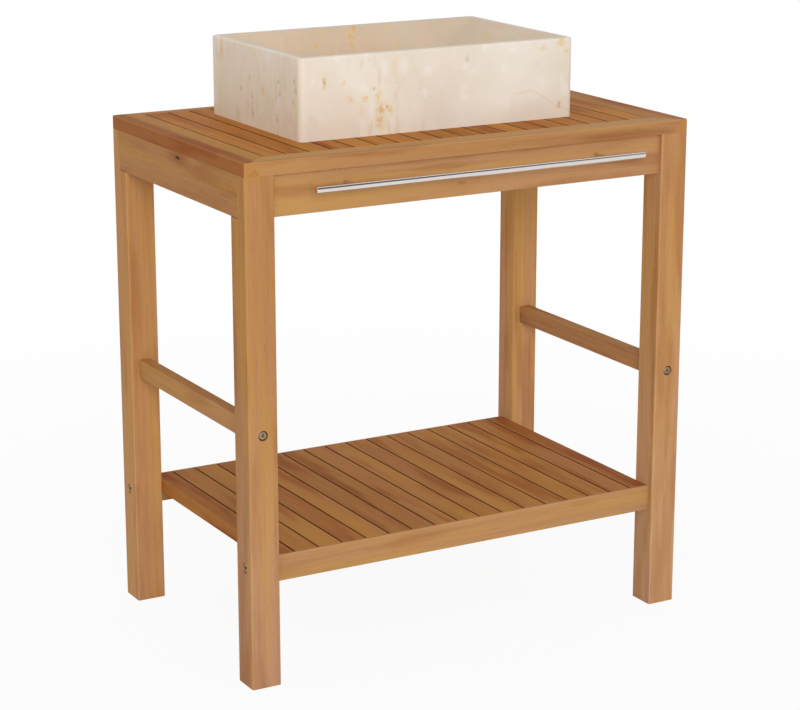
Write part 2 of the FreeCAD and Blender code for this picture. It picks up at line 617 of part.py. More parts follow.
# Top rails: the front rail fills what the edge boards leave, the back rail lies between them.
# Both are grooved for the tongues of the slats.
GROOVE_LOW = f"({UNDER_TOP} + (Sizes.top_thick - Sizes.tongue_thick) / 2 - Sizes.fit_gap)"
GROOVE_TALL = "(Sizes.tongue_thick + 2 * Sizes.fit_gap)"
GROOVE_DEEP = "(Sizes.tongue_long + Sizes.fit_gap)"
FIELD_LEFT = f"({LEFT} + Sizes.edge_wide)"
FIELD_WIDE = "(Sizes.width - 2 * Sizes.edge_wide)"
FIELD_FRONT = f"({FRONT} + Sizes.front_rail_wide)"

front_blank = board("top_front_rail_blank",
                    ("Sizes.width - Sizes.mitre_head", "Sizes.front_rail_wide", "Sizes.top_thick"),
                    (f"{LEFT} + Sizes.mitre_head / 2", FRONT, UNDER_TOP),
                    off_the_foot(runs_along("x", "y", 0)))
front_mitred = cut("top_front_rail_mitred", front_blank,
                   [doc.getObject("top_edge_left_mitred"), doc.getObject("top_edge_right_mitred")])
front_tools = [block("top_front_rail_groove", (FIELD_WIDE, GROOVE_DEEP, GROOVE_TALL),
                     (FIELD_LEFT, f"{FIELD_FRONT} - {GROOVE_DEEP}", GROOVE_LOW))]
for step, along in enumerate(RAIL_DOWEL_X):
    front_tools.append(rod(f"top_front_rail_dowel_{step}", "z", DOWEL_BORE, RAIL_HEAD,
                           (along, inward(FRONT, 1, APRON_IN), UNDER_TOP)))
node(cut("top_front_rail", front_mitred, front_tools), "top_front_rail")

back_blank = board("top_back_rail_blank", (FIELD_WIDE, "Sizes.back_rail_wide", "Sizes.top_thick"),
                   (FIELD_LEFT, BACK_RAIL_FRONT, UNDER_TOP),
                   off_the_foot(runs_along("x", "y", sheet.back_rail_wide)))
back_tools = [block("top_back_rail_groove", (FIELD_WIDE, GROOVE_DEEP, GROOVE_TALL),
                    (FIELD_LEFT, BACK_RAIL_FRONT, GROOVE_LOW))]
for step, along in enumerate(RAIL_DOWEL_X):
    back_tools.append(rod(f"top_back_rail_peg_{step}", "z", PEG_BORE, RAIL_HEAD,
                          (along, BACK_PEG_Y, UNDER_TOP)))
node(cut("top_back_rail", back_blank, back_tools), "top_back_rail")

# Top slats: tongued into both rails, screwed from below to two battens, the middle pair cut out
# for the tail of the waste
SLAT_WIDE = f"(({FIELD_WIDE} - (Sizes.slat_count + 1) * Sizes.slat_gap) / Sizes.slat_count)"
SLAT_PITCH = f"({SLAT_WIDE} + Sizes.slat_gap)"
SLAT_LONG = "(Sizes.depth - Sizes.front_rail_wide - Sizes.back_rail_wide)"
APRON_INNER = "(Sizes.apron_setback + Sizes.apron_thick)"
BATTEN_IN = f"({APRON_INNER} + Sizes.batten_wide / 2)"
SCREW_BORE = "(Sizes.screw_size + 2 * Sizes.fit_gap)"
SLAT_HOLE = "(Sizes.tail_wide + 2 * Sizes.slat_hole_gap)"
TONGUE = "Sizes.tongue_long"
TONGUE_LOW = "((Sizes.top_thick - Sizes.tongue_thick) / 2)"
TONGUE_HIGH = "((Sizes.top_thick + Sizes.tongue_thick) / 2)"
TONGUED_END = f"({SLAT_LONG} + {TONGUE})"
SLAT_SIDE = [
    ("0", "0"), (SLAT_LONG, "0"),
    (SLAT_LONG, TONGUE_LOW), (TONGUED_END, TONGUE_LOW),
    (TONGUED_END, TONGUE_HIGH), (SLAT_LONG, TONGUE_HIGH),
    (SLAT_LONG, "Sizes.top_thick"), ("0", "Sizes.top_thick"),
    ("0", TONGUE_HIGH), (f"-{TONGUE}", TONGUE_HIGH),
    (f"-{TONGUE}", TONGUE_LOW), ("0", TONGUE_LOW),
]
SCREW_Y = (f"{BATTEN_IN} - Sizes.front_rail_wide",
           f"Sizes.depth - {BATTEN_IN} - Sizes.front_rail_wide")
slat_total = int(sheet.slat_count)
field_wide = sheet.width - 2 * sheet.edge_wide
pitch_wide = (field_wide - sheet.slat_gap) / slat_total
hole_reach = sheet.tail_wide / 2 + sheet.slat_hole_gap
for number in range(slat_total):
    slat = f"top_slat_{number + 1:02d}"
    slat_left = f"({FIELD_LEFT} + Sizes.slat_gap + {number} * {SLAT_PITCH})"
    strip = body(slat, (slat_left, FIELD_FRONT, UNDER_TOP))
    side = outline(strip, "YZ_Plane", f"{slat}_side", SLAT_SIDE)
    stick = pad(strip, f"{slat}_stick", side, SLAT_WIDE)
    rounded(strip, f"{slat}_eased", stick, "Sizes.slat_round", runs_along("y", "z", sheet.top_thick))
    pilots = circles(strip, "XY_Plane", f"{slat}_pilots", SCREW_BORE,
                     [(f"{SLAT_WIDE} / 2", along) for along in SCREW_Y])
    pocket(strip, f"{slat}_bores", pilots, "Sizes.screw_bite", back=True)
    slat_from = sheet.slat_gap + number * pitch_wide - field_wide / 2
    if slat_from < hole_reach and slat_from + pitch_wide - sheet.slat_gap > -hole_reach:
        drain = circles(strip, "XY_Plane", f"{slat}_drain", SLAT_HOLE,
                        [(f"-{slat_left}", f"{BASIN_Y} - {FIELD_FRONT}")])
        pocket(strip, f"{slat}_cutout", drain, "Sizes.top_thick", back=True)
    node(strip, slat)

# Battens under the top: each lies against an apron, between the legs, drilled for the slat screws
SCREW_START = f"({FIELD_LEFT} + Sizes.slat_gap + {SLAT_WIDE} / 2 - {INNER_LEFT})"


def screw_row(name, thick, spot):
    """One slat screw, head down, that passes through a batten of the given thickness."""
    shank = f"(Sizes.screw_head_tall + {thick} + Sizes.screw_bite)"
    return turned(name, spot, [
        ("0", "0"), ("Sizes.screw_head_wide / 2", "0"),
        ("Sizes.screw_head_wide / 2", "Sizes.screw_head_tall"),
        ("Sizes.screw_size / 2", "Sizes.screw_head_tall"),
        ("Sizes.screw_size / 2", f"{shank} - Sizes.screw_size"), ("0", shank),
    ])


def screwed_batten(batten, low_y, under, thick, short, first, pitch, count, ends=()):
    """A batten under a row of slats, with the screws that hold them to it.

    Places along the batten count from the inner face of the left legs.
    """
    strip = board(batten, (f"{INNER_WIDE} - 2 * {short}", "Sizes.batten_wide", thick),
                  (f"{INNER_LEFT} + {short}", low_y, f"{under} - {thick}"), runs_along("x", "z", 0))
    middle = "Sizes.batten_wide / 2"
    if ends:
        outer = circles(strip, "XY_Plane", f"{batten}_end_bores", SCREW_BORE,
                        [(f"{along} - {short}", middle) for along in ends])
        pocket(strip, f"{batten}_end_holes", outer, thick, back=True)
    bore = circles(strip, "XY_Plane", f"{batten}_bore", SCREW_BORE, [(f"{first} - {short}", middle)])
    hole = pocket(strip, f"{batten}_hole", bore, thick, back=True)
    along_x(strip, f"{batten}_holes", [hole], pitch, count)
    node(strip, batten)
    head = (f"{low_y} + {middle}", f"{under} - {thick} - Sizes.screw_head_tall")
    screws = [screw_row(f"{batten}_screws", thick, (f"{INNER_LEFT} + {first}",) + head)]
    along_x(screws[0], f"{batten}_screw_row", [screws[0].Tip], pitch, count)
    for number, along in enumerate(ends):
        screws.append(screw_row(f"{batten}_end_screw_{number}", thick, (f"{INNER_LEFT} + {along}",) + head))
    return screws


slat_screws = screwed_batten("top_batten_front", inward(FRONT, 1, APRON_INNER), UNDER_TOP,
                             "Sizes.batten_thick", "0", SCREW_START, SLAT_PITCH, "Sizes.slat_count")
slat_screws += screwed_batten("top_batten_back", low_side(BACK, -1, APRON_INNER, "Sizes.batten_wide"),
                              UNDER_TOP, "Sizes.batten_thick", "0", SCREW_START, SLAT_PITCH,
                              "Sizes.slat_count")

# Shelf rails: rabbeted behind a thin lip for the thinned ends of the slats, bolted to the legs
RABBET = "(Sizes.shelf_rail_tall - Sizes.shelf_tongue_thick)"
SHELF_FOOT = "(Sizes.shelf_height - Sizes.shelf_rail_tall)"
for side, way_y, face_y in (("front", 1, FRONT), ("back", -1, BACK)):
    rail = f"shelf_{side}_rail"
    low_y = low_side(face_y, way_y, "Sizes.shelf_setback", "Sizes.shelf_rail_thick")
    stick = body(f"{rail}_blank", (INNER_LEFT, low_y, SHELF_FOOT))

    def across(distance):
        return distance if way_y > 0 else f"Sizes.shelf_rail_thick - ({distance})"

    corners = [("0", "0"), ("Sizes.shelf_rail_thick", "0"), ("Sizes.shelf_rail_thick", RABBET),
               ("Sizes.shelf_lip", RABBET), ("Sizes.shelf_lip", "Sizes.shelf_rail_tall"),
               ("0", "Sizes.shelf_rail_tall")]
    section = outline(stick, "YZ_Plane", f"{rail}_section", [(across(y), z) for y, z in corners])
    whole = pad(stick, f"{rail}_stick", section, INNER_WIDE)
    outer_y = 0 if way_y > 0 else sheet.shelf_rail_thick
    rounded(stick, f"{rail}_eased", whole, "Sizes.edge_round", runs_along("x", "y", outer_y))
    tools = []
    inner_y = inward(face_y, way_y, "Sizes.shelf_setback + Sizes.shelf_rail_thick")
    middle_y = inward(face_y, way_y, SHELF_BOLT_IN)
    for end, way_x, face_x in (("left", 1, LEFT), ("right", -1, RIGHT)):
        end_x = inward(face_x, way_x, "Sizes.leg_size")
        barrel_x = inward(face_x, way_x, "Sizes.leg_size + Sizes.barrel_set")
        bolt_deep = "Sizes.barrel_set + Sizes.barrel_size / 2 + 2 * Sizes.bolt_tip"
        bore = drive(f"{rail}_bolt_{end}", "x", way_x, BOLT_BORE, bolt_deep,
                     (end_x, middle_y, SHELF_BOLT_Z))
        barrel_deep = "(Sizes.shelf_rail_thick + Sizes.barrel_long) / 2"
        nest = drive(f"{rail}_nest_{end}", "y", -way_y, "Sizes.barrel_size + 2 * Sizes.fit_gap",
                     barrel_deep, (barrel_x, inner_y, SHELF_BOLT_Z))
        peg = drive(f"{rail}_peg_{end}", "x", way_x, PEG_BORE, HALF_PEG,
                    (end_x, middle_y, SHELF_PEG_Z))
        tools += [joined(f"{rail}_hole_{end}", [bore, nest]), peg]
        barrel_nut(f"nut_{rail}_{end}", "x", "y", (barrel_x, middle_y, SHELF_BOLT_Z))
    node(cut(rail, stick, tools), rail)

# Shelf slats: full thickness between the rails, thinned where they lie in the rabbets
SHELF_FIELD = f"({INNER_WIDE} - 2 * Sizes.shelf_edge_wide - Sizes.slat_gap)"
SHELF_PITCH = f"({SHELF_FIELD} / Sizes.shelf_slat_count)"
SHELF_SLAT_WIDE = f"({SHELF_PITCH} - Sizes.slat_gap)"
EDGE_SCREW_IN = "((Sizes.shelf_edge_wide + Sizes.shelf_batten_short) / 2)"
SHELF_SLAT_LONG = "(Sizes.depth - 2 * (Sizes.shelf_setback + Sizes.shelf_lip))"
THIN_LONG = "(Sizes.shelf_rail_thick - Sizes.shelf_lip)"
THIN_LOW = "(Sizes.shelf_slat_thick - Sizes.shelf_tongue_thick)"
SHELF_SIDE = [
    (THIN_LONG, "0"), (f"{SHELF_SLAT_LONG} - {THIN_LONG}", "0"),
    (f"{SHELF_SLAT_LONG} - {THIN_LONG}", THIN_LOW), (SHELF_SLAT_LONG, THIN_LOW),
    (SHELF_SLAT_LONG, "Sizes.shelf_slat_thick"), ("0", "Sizes.shelf_slat_thick"),
    ("0", THIN_LOW), (THIN_LONG, THIN_LOW),
]
SHELF_SLAT_Y = f"({FRONT} + Sizes.shelf_setback + Sizes.shelf_lip)"
SHELF_UNDER = "(Sizes.shelf_height - Sizes.shelf_slat_thick)"


def shelf_slat(name, left, wide, pilot_x):
    strip = body(name, (left, SHELF_SLAT_Y, SHELF_UNDER))
    side = outline(strip, "YZ_Plane", f"{name}_side", SHELF_SIDE)
    stick = pad(strip, f"{name}_stick", side, wide)
    rounded(strip, f"{name}_eased", stick, "Sizes.slat_round",
            runs_along("y", "z", sheet.shelf_slat_thick))
    pilot = circles(strip, "XY_Plane", f"{name}_pilot", SCREW_BORE,
                    [(pilot_x, f"{SHELF_SLAT_LONG} / 2")])
    pocket(strip, f"{name}_bore", pilot, "Sizes.screw_bite", back=True)
    return strip


FULL_SLAT_LEFT = f"({INNER_LEFT} + Sizes.shelf_edge_wide + Sizes.slat_gap)"
full_slats = []
for number in range(int(sheet.shelf_slat_count)):
    slat_left = f"({FULL_SLAT_LEFT} + {number} * {SHELF_PITCH})"
    full_slats.append(shelf_slat(f"shelf_slat_{number + 1:02d}", slat_left, SHELF_SLAT_WIDE,
                                 f"{SHELF_SLAT_WIDE} / 2"))
node(group("shelf_slats", full_slats), "shelf_slats")
RIGHT_EDGE_SLAT = f"({RIGHT} - Sizes.leg_size - Sizes.shelf_edge_wide)"
for side, left, pilot in (
        ("left", INNER_LEFT, EDGE_SCREW_IN),
        ("right", RIGHT_EDGE_SLAT, f"Sizes.shelf_edge_wide - {EDGE_SCREW_IN}")):
    edge_slat = f"shelf_edge_slat_{side}"
    node(shelf_slat(edge_slat, left, "Sizes.shelf_edge_wide", pilot), edge_slat)

# Shelf batten: thin, and short of the shelf's ends, so that it stays out of sight
SHELF_BATTEN_Y = f"({FRONT} + (Sizes.depth - Sizes.batten_wide) / 2)"
SHELF_SCREW_START = f"(Sizes.shelf_edge_wide + Sizes.slat_gap + {SHELF_SLAT_WIDE} / 2)"
slat_screws += screwed_batten("shelf_batten", SHELF_BATTEN_Y, SHELF_UNDER, "Sizes.shelf_batten_thick",
                              "Sizes.shelf_batten_short", SHELF_SCREW_START, SHELF_PITCH,
                              "Sizes.shelf_slat_count",
                              (EDGE_SCREW_IN, f"{INNER_WIDE} - {EDGE_SCREW_IN}"))

# Stretchers: between the legs at each side, bolted through the legs' front and back faces to
# barrel nuts let in from below
STRETCHER_IN = "((Sizes.leg_size - Sizes.stretcher_wide) / 2)"
for side, way_x, face_x in (("left", 1, LEFT), ("right", -1, RIGHT)):
    stretcher = f"stretcher_{side}"
    stick = board(f"{stretcher}_blank", ("Sizes.stretcher_wide", "Sizes.depth - 2 * Sizes.leg_size",
                                         "Sizes.stretcher_tall"),
                  (low_side(face_x, way_x, STRETCHER_IN, "Sizes.stretcher_wide"),
                   inward(FRONT, 1, "Sizes.leg_size"), "Sizes.stretcher_height"), runs_along("y"))
    tools = []
    middle_x = inward(face_x, way_x, "Sizes.leg_size / 2")
    for end, way_y, face_y in (("front", 1, FRONT), ("back", -1, BACK)):
        end_y = inward(face_y, way_y, "Sizes.leg_size")
        barrel_y = inward(face_y, way_y, "Sizes.leg_size + Sizes.barrel_set")
        bolt_deep = "Sizes.barrel_set + Sizes.barrel_size / 2 + 2 * Sizes.bolt_tip"
        bore = drive(f"{stretcher}_bolt_{end}", "y", way_y, BOLT_BORE, bolt_deep,
                     (middle_x, end_y, STRETCHER_BOLT_Z))
        barrel_deep = "(Sizes.stretcher_tall + Sizes.barrel_long) / 2"
        nest = rod(f"{stretcher}_nest_{end}", "z", "Sizes.barrel_size + 2 * Sizes.fit_gap",
                   barrel_deep, (middle_x, barrel_y, "Sizes.stretcher_height"))
        peg = drive(f"{stretcher}_peg_{end}", "y", way_y, PEG_BORE, HALF_PEG,
                    (middle_x, end_y, PEG_Z))
        tools += [joined(f"{stretcher}_hole_{end}", [bore, nest]), peg]
        barrel_nut(f"nut_{stretcher}_{end}", "y", "z", (middle_x, barrel_y, STRETCHER_BOLT_Z))
    node(cut(stretcher, stick, tools), stretcher)

# Towel bar: a round bar on two posts, each screwed from behind through the front apron
BAR_Y = f"({FRONT} - Sizes.bar_reach)"
APRON_FACE = f"({FRONT} + Sizes.apron_setback)"
POST_LONG = f"({APRON_FACE} - {BAR_Y})"
SPIGOT_LONG = "(Sizes.bar_wide / 2 - Sizes.spigot_tip)"
bar_stick = rod("towel_bar_stick", "x", "Sizes.bar_wide", "Sizes.bar_long",
                ("-Sizes.bar_long / 2", BAR_Y, BAR_Z))
doc.recompute()
bar_rounded = doc.addObject("Part::Fillet", "towel_bar_rounded")
bar_rounded.Base = bar_stick
end_edges = [index for index, edge in enumerate(bar_stick.Shape.Edges, start=1) if edge.isClosed()]
bar_rounded.Edges = [(index, sheet.bar_round, sheet.bar_round) for index in end_edges]
spigot_bores = []
posts = []
bar_screws = []
for end, along in POST_X.items():
    tip = (along, f"{BAR_Y} - {SPIGOT_LONG}", BAR_Z)
    spigot_bores.append(rod(f"towel_bar_bore_{end}", "y", "Sizes.spigot_wide + 2 * Sizes.fit_gap",
                            f"{SPIGOT_LONG} + Sizes.bar_wide", tip))
    shaft = rod(f"towel_post_shaft_{end}", "y", "Sizes.post_wide", POST_LONG, (along, BAR_Y, BAR_Z))
    saddle = rod(f"towel_post_saddle_{end}", "x", "Sizes.bar_wide", "2 * Sizes.post_wide",
                 (f"{along} - Sizes.post_wide", BAR_Y, BAR_Z))
    spigot = rod(f"towel_post_spigot_{end}", "y", "Sizes.spigot_wide",
                 f"{SPIGOT_LONG} + Sizes.bar_wide", tip)
    whole = joined(f"towel_post_whole_{end}", [cut(f"towel_post_fitted_{end}", shaft, [saddle]), spigot])
    thread = drive(f"towel_post_thread_{end}", "y", -1, BAR_SCREW_BORE, "Sizes.bar_screw_bite",
                   (along, APRON_FACE, BAR_Z))
    posts.append(cut(f"towel_post_{end}", whole, [thread]))
    head_y = f"{APRON_FACE} + Sizes.apron_thick - Sizes.bar_screw_sink"
    head = rod(f"bar_screw_head_{end}", "y", "Sizes.bar_screw_head", "Sizes.bar_screw_sink",
               (along, head_y, BAR_Z))
    shank = drive(f"bar_screw_shank_{end}", "y", -1, "Sizes.bar_screw_size",
                  "Sizes.apron_thick - Sizes.bar_screw_sink + Sizes.bar_screw_bite",
                  (along, head_y, BAR_Z))
    bar_screws.append(joined(f"bar_screw_{end}", [head, shank]))
node(cut("towel_bar", bar_rounded, spigot_bores), "towel_bar")
node(group("towel_bar_posts", posts), "towel_bar_posts")
node(group("towel_bar_screws", bar_screws), "towel_bar_screws")

# Basin: a block of stone, hollowed to four walls that slope from the rim down to a small flat floor,
# with a recess and a hole for the waste
HALF_WIDE = "(Sizes.basin_wide / 2)"
HALF_DEEP = "(Sizes.basin_deep / 2)"
FLANGE_SINK = "(Sizes.flange_thick + Sizes.ring_thick)"
basin = body("basin", ("0", BASIN_Y, TOP))
plan = outline(basin, "XY_Plane", "basin_plan",
               rectangle(f"-{HALF_WIDE}", f"-{HALF_DEEP}", HALF_WIDE, HALF_DEEP))
pad(basin, "basin_block", plan, "Sizes.basin_tall")
bowl_sections = []
for level, lift, reach_x, reach_y in (
        ("rim", "Sizes.basin_tall",
         f"({HALF_WIDE} - Sizes.rim_thick)", f"({HALF_DEEP} - Sizes.rim_thick)"),
        ("floor", "Sizes.basin_floor",
         "(Sizes.flange_wide / 2 + Sizes.bowl_flat_wide)",
         "(Sizes.flange_wide / 2 + Sizes.bowl_flat_deep)")):
    bowl_sections.append(outline(basin, "XY_Plane", f"basin_bowl_{level}",
                                 rectangle(f"-{reach_x}", f"-{reach_y}", reach_x, reach_y), lift))
bowl = basin.newObject("PartDesign::SubtractiveLoft", "basin_bowl")
bowl.Profile = bowl_sections[0]
bowl.Sections = [bowl_sections[1]]
bowl.Ruled = True


def upright(first, last):
    return abs(first.z - last.z) > sheet.basin_floor


def outside(spot):
    return abs(abs(spot.x) - sheet.basin_wide / 2) < sheet.rim_thick / 2


near = sheet.fit_gap
corners_done = rounded(basin, "basin_bowl_corners", bowl, "Sizes.bowl_corner",
                       lambda first, last: upright(first, last) and not outside(first))
foot_done = rounded(basin, "basin_bowl_foot", corners_done, "Sizes.bowl_foot",
                    lambda first, last: max(abs(first.z - sheet.basin_floor),
                                            abs(last.z - sheet.basin_floor)) < near)
outer_done = rounded(basin, "basin_outer_corners", foot_done, "Sizes.basin_corner",
                     lambda first, last: upright(first, last) and outside(first) and outside(last)
                     and abs(first.x - last.x) < near)
rounded(basin, "basin_rim", outer_done, "Sizes.rim_round",
        lambda first, last: min(first.z, last.z) > sheet.basin_tall - near)
recess = circles(basin, "XY_Plane", "basin_recess_plan", "Sizes.flange_wide + 2 * Sizes.flange_gap",
                 [("0", "0")], "Sizes.basin_floor")
pocket(basin, "basin_recess", recess, FLANGE_SINK)
drain_hole = circles(basin, "XY_Plane", "basin_drain_plan", "Sizes.tail_wide + 2 * Sizes.tail_gap",
                     [("0", "0")], "Sizes.basin_floor")
pocket(basin, "basin_drain", drain_hole, "Sizes.basin_floor")
node(basin, "basin")

# Waste: a flanged brass tube that clamps the basin to the top, with a cross web for the cartridge
WASTE_HEAD = "(Sizes.top_height + Sizes.basin_floor)"
WASTE_FOOT = f"({WASTE_HEAD} - Sizes.waste_long)"
BORE = "(Sizes.tail_wide / 2 - Sizes.tail_wall)"
TAIL_END = "(Sizes.tail_wide / 2 - Sizes.tail_relief)"
waste_tube = turned("waste_tube", ("0", BASIN_Y, WASTE_FOOT), [
    (BORE, "0"), (TAIL_END, "0"), (TAIL_END, "Sizes.tail_end_long"),
    ("Sizes.tail_wide / 2", "Sizes.tail_end_long"),
    ("Sizes.tail_wide / 2", "Sizes.waste_long - Sizes.flange_thick"),
    ("Sizes.flange_wide / 2", "Sizes.waste_long - Sizes.flange_thick"),
    ("Sizes.flange_wide / 2", "Sizes.waste_long"), (f"{BORE} + Sizes.seat_flare", "Sizes.waste_long"),
    (BORE, "Sizes.waste_long - Sizes.seat_deep"),
])
WEB_LOW = f"({WASTE_HEAD} - Sizes.web_deep - Sizes.web_tall)"
WEB_REACH = f"({BORE} + Sizes.tail_wall / 2)"
web = block("waste_web", (f"2 * {WEB_REACH}", "Sizes.web_wide", "Sizes.web_tall"),
            (f"-{WEB_REACH}", f"{BASIN_Y} - Sizes.web_wide / 2", WEB_LOW))
hub = rod("waste_hub", "z", "Sizes.hub_wide", "Sizes.web_tall", ("0", BASIN_Y, WEB_LOW))
stud_hole = rod("waste_stud_hole", "z", "Sizes.stud_wide + 2 * Sizes.fit_gap", "Sizes.web_tall",
                ("0", BASIN_Y, WEB_LOW))
node(cut("waste_body", joined("waste_whole", [waste_tube, web, hub]), [stud_hole]), "waste_body")

# Cartridge: a sleeve that stands on the web and guides the stem of the plug
SLEEVE_TOP = ("(Sizes.web_tall + Sizes.web_deep + Sizes.cap_gap - Sizes.skirt_deep"
              " - Sizes.sleeve_gap)")
node(turned("waste_cartridge", ("0", BASIN_Y, WEB_LOW), [
    ("0", "0"), ("Sizes.stud_wide / 2", "0"), ("Sizes.stud_wide / 2", "Sizes.web_tall"),
    ("Sizes.sleeve_wide / 2", "Sizes.web_tall"),
    ("Sizes.sleeve_wide / 2", SLEEVE_TOP), ("Sizes.stem_wide / 2 + Sizes.stem_gap", SLEEVE_TOP),
    ("Sizes.stem_wide / 2 + Sizes.stem_gap", "Sizes.web_tall"), ("0", "Sizes.web_tall"),
]), "waste_cartridge")

# Plug: a low crowned cap on a stem, with a skirt that holds its rubber seal
CAP_Z = f"({WASTE_HEAD} + Sizes.cap_gap)"
SEAL = f"({BORE} - Sizes.seal_gap)"
SKIRT = f"({SEAL} - Sizes.seal_thick)"
CAP_TOP = "(Sizes.stem_long + Sizes.cap_edge)"
CROWN_STEPS = 8
crown = []
for step in range(CROWN_STEPS + 1):
    share = 1 - step / CROWN_STEPS
    crown.append((f"(Sizes.cap_wide / 2 - Sizes.cap_bevel) * {share}",
                  f"{CAP_TOP} + Sizes.cap_crown * {1 - share * share}"))
node(turned("waste_plug", ("0", BASIN_Y, f"{CAP_Z} - Sizes.stem_long"), [
    ("0", "0"), ("Sizes.stem_wide / 2", "0"),
    ("Sizes.stem_wide / 2", "Sizes.stem_long - Sizes.skirt_deep"),
    (SKIRT, "Sizes.stem_long - Sizes.skirt_deep"),
    (SKIRT, "Sizes.stem_long"), ("Sizes.cap_wide / 2", "Sizes.stem_long"),
    ("Sizes.cap_wide / 2", f"{CAP_TOP} - Sizes.cap_bevel"),
] + crown), "waste_plug")


def ring(name, outer, inner, tall, low):
    return turned(name, ("0", BASIN_Y, low), rectangle(f"({inner}) / 2", "0", f"({outer}) / 2", tall))


node(ring("plug_seal", f"2 * {SEAL}", f"2 * ({SKIRT} + Sizes.fit_gap)", "Sizes.skirt_deep",
          f"{CAP_Z} - Sizes.skirt_deep"), "plug_seal")
RING_WIDE = "Sizes.flange_wide - 2 * Sizes.ring_inset"
RING_BORE = "Sizes.tail_wide + 2 * Sizes.fit_gap"
node(group("waste_seals", [
    ring("upper_seal", RING_WIDE, RING_BORE, "Sizes.ring_thick",
         f"{WASTE_HEAD} - {FLANGE_SINK}"),
    ring("lower_seal", RING_WIDE, RING_BORE, "Sizes.ring_thick",
         f"{UNDER_TOP} - Sizes.ring_thick"),
]), "waste_seals")
nut_low = f"({UNDER_TOP} - Sizes.ring_thick - Sizes.nut_tall)"
nut_blank = doc.addObject("Part::Prism", "waste_nut_blank")
nut_blank.Polygon = 6
nut_blank.setExpression("Circumradius", "Sizes.nut_wide / sqrt(3)")
nut_blank.setExpression("Height", "Sizes.nut_tall")
place(nut_blank, ("0", BASIN_Y, nut_low))
nut_bore = rod("waste_nut_bore", "z", RING_BORE, "Sizes.nut_tall", ("0", BASIN_Y, nut_low))
node(cut("waste_nut", nut_blank, [nut_bore]), "waste_nut")

# Fasteners, each kind as one group of separate pieces
node(group("frame_bolts", bolts), "frame_bolts")
node(group("barrel_nuts", barrel_nuts), "barrel_nuts")
node(group("frame_dowels", dowels), "frame_dowels")
node(group("locating_dowels", pegs), "locating_dowels")
node(group("lap_screws", lap_screws), "lap_screws")
node(group("slat_screws", slat_screws), "slat_screws")

doc.recompute()
for item in doc.Objects:
    if "Invalid" in item.State or "Error" in item.State:
        raise RuntimeError(f"{item.Name} failed: {item.State}")
for item in nodes:
    if item.Shape.isNull() or not item.Shape.isValid() or not item.Shape.Solids:
        raise RuntimeError(f"{item.Label} has no sound solid")

os.makedirs("parts", exist_ok=True)
for item in nodes:
    item.Shape.exportStep(f"parts/{item.Label}.step")
print(len(nodes), "pieces written")
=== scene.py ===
import math
import random

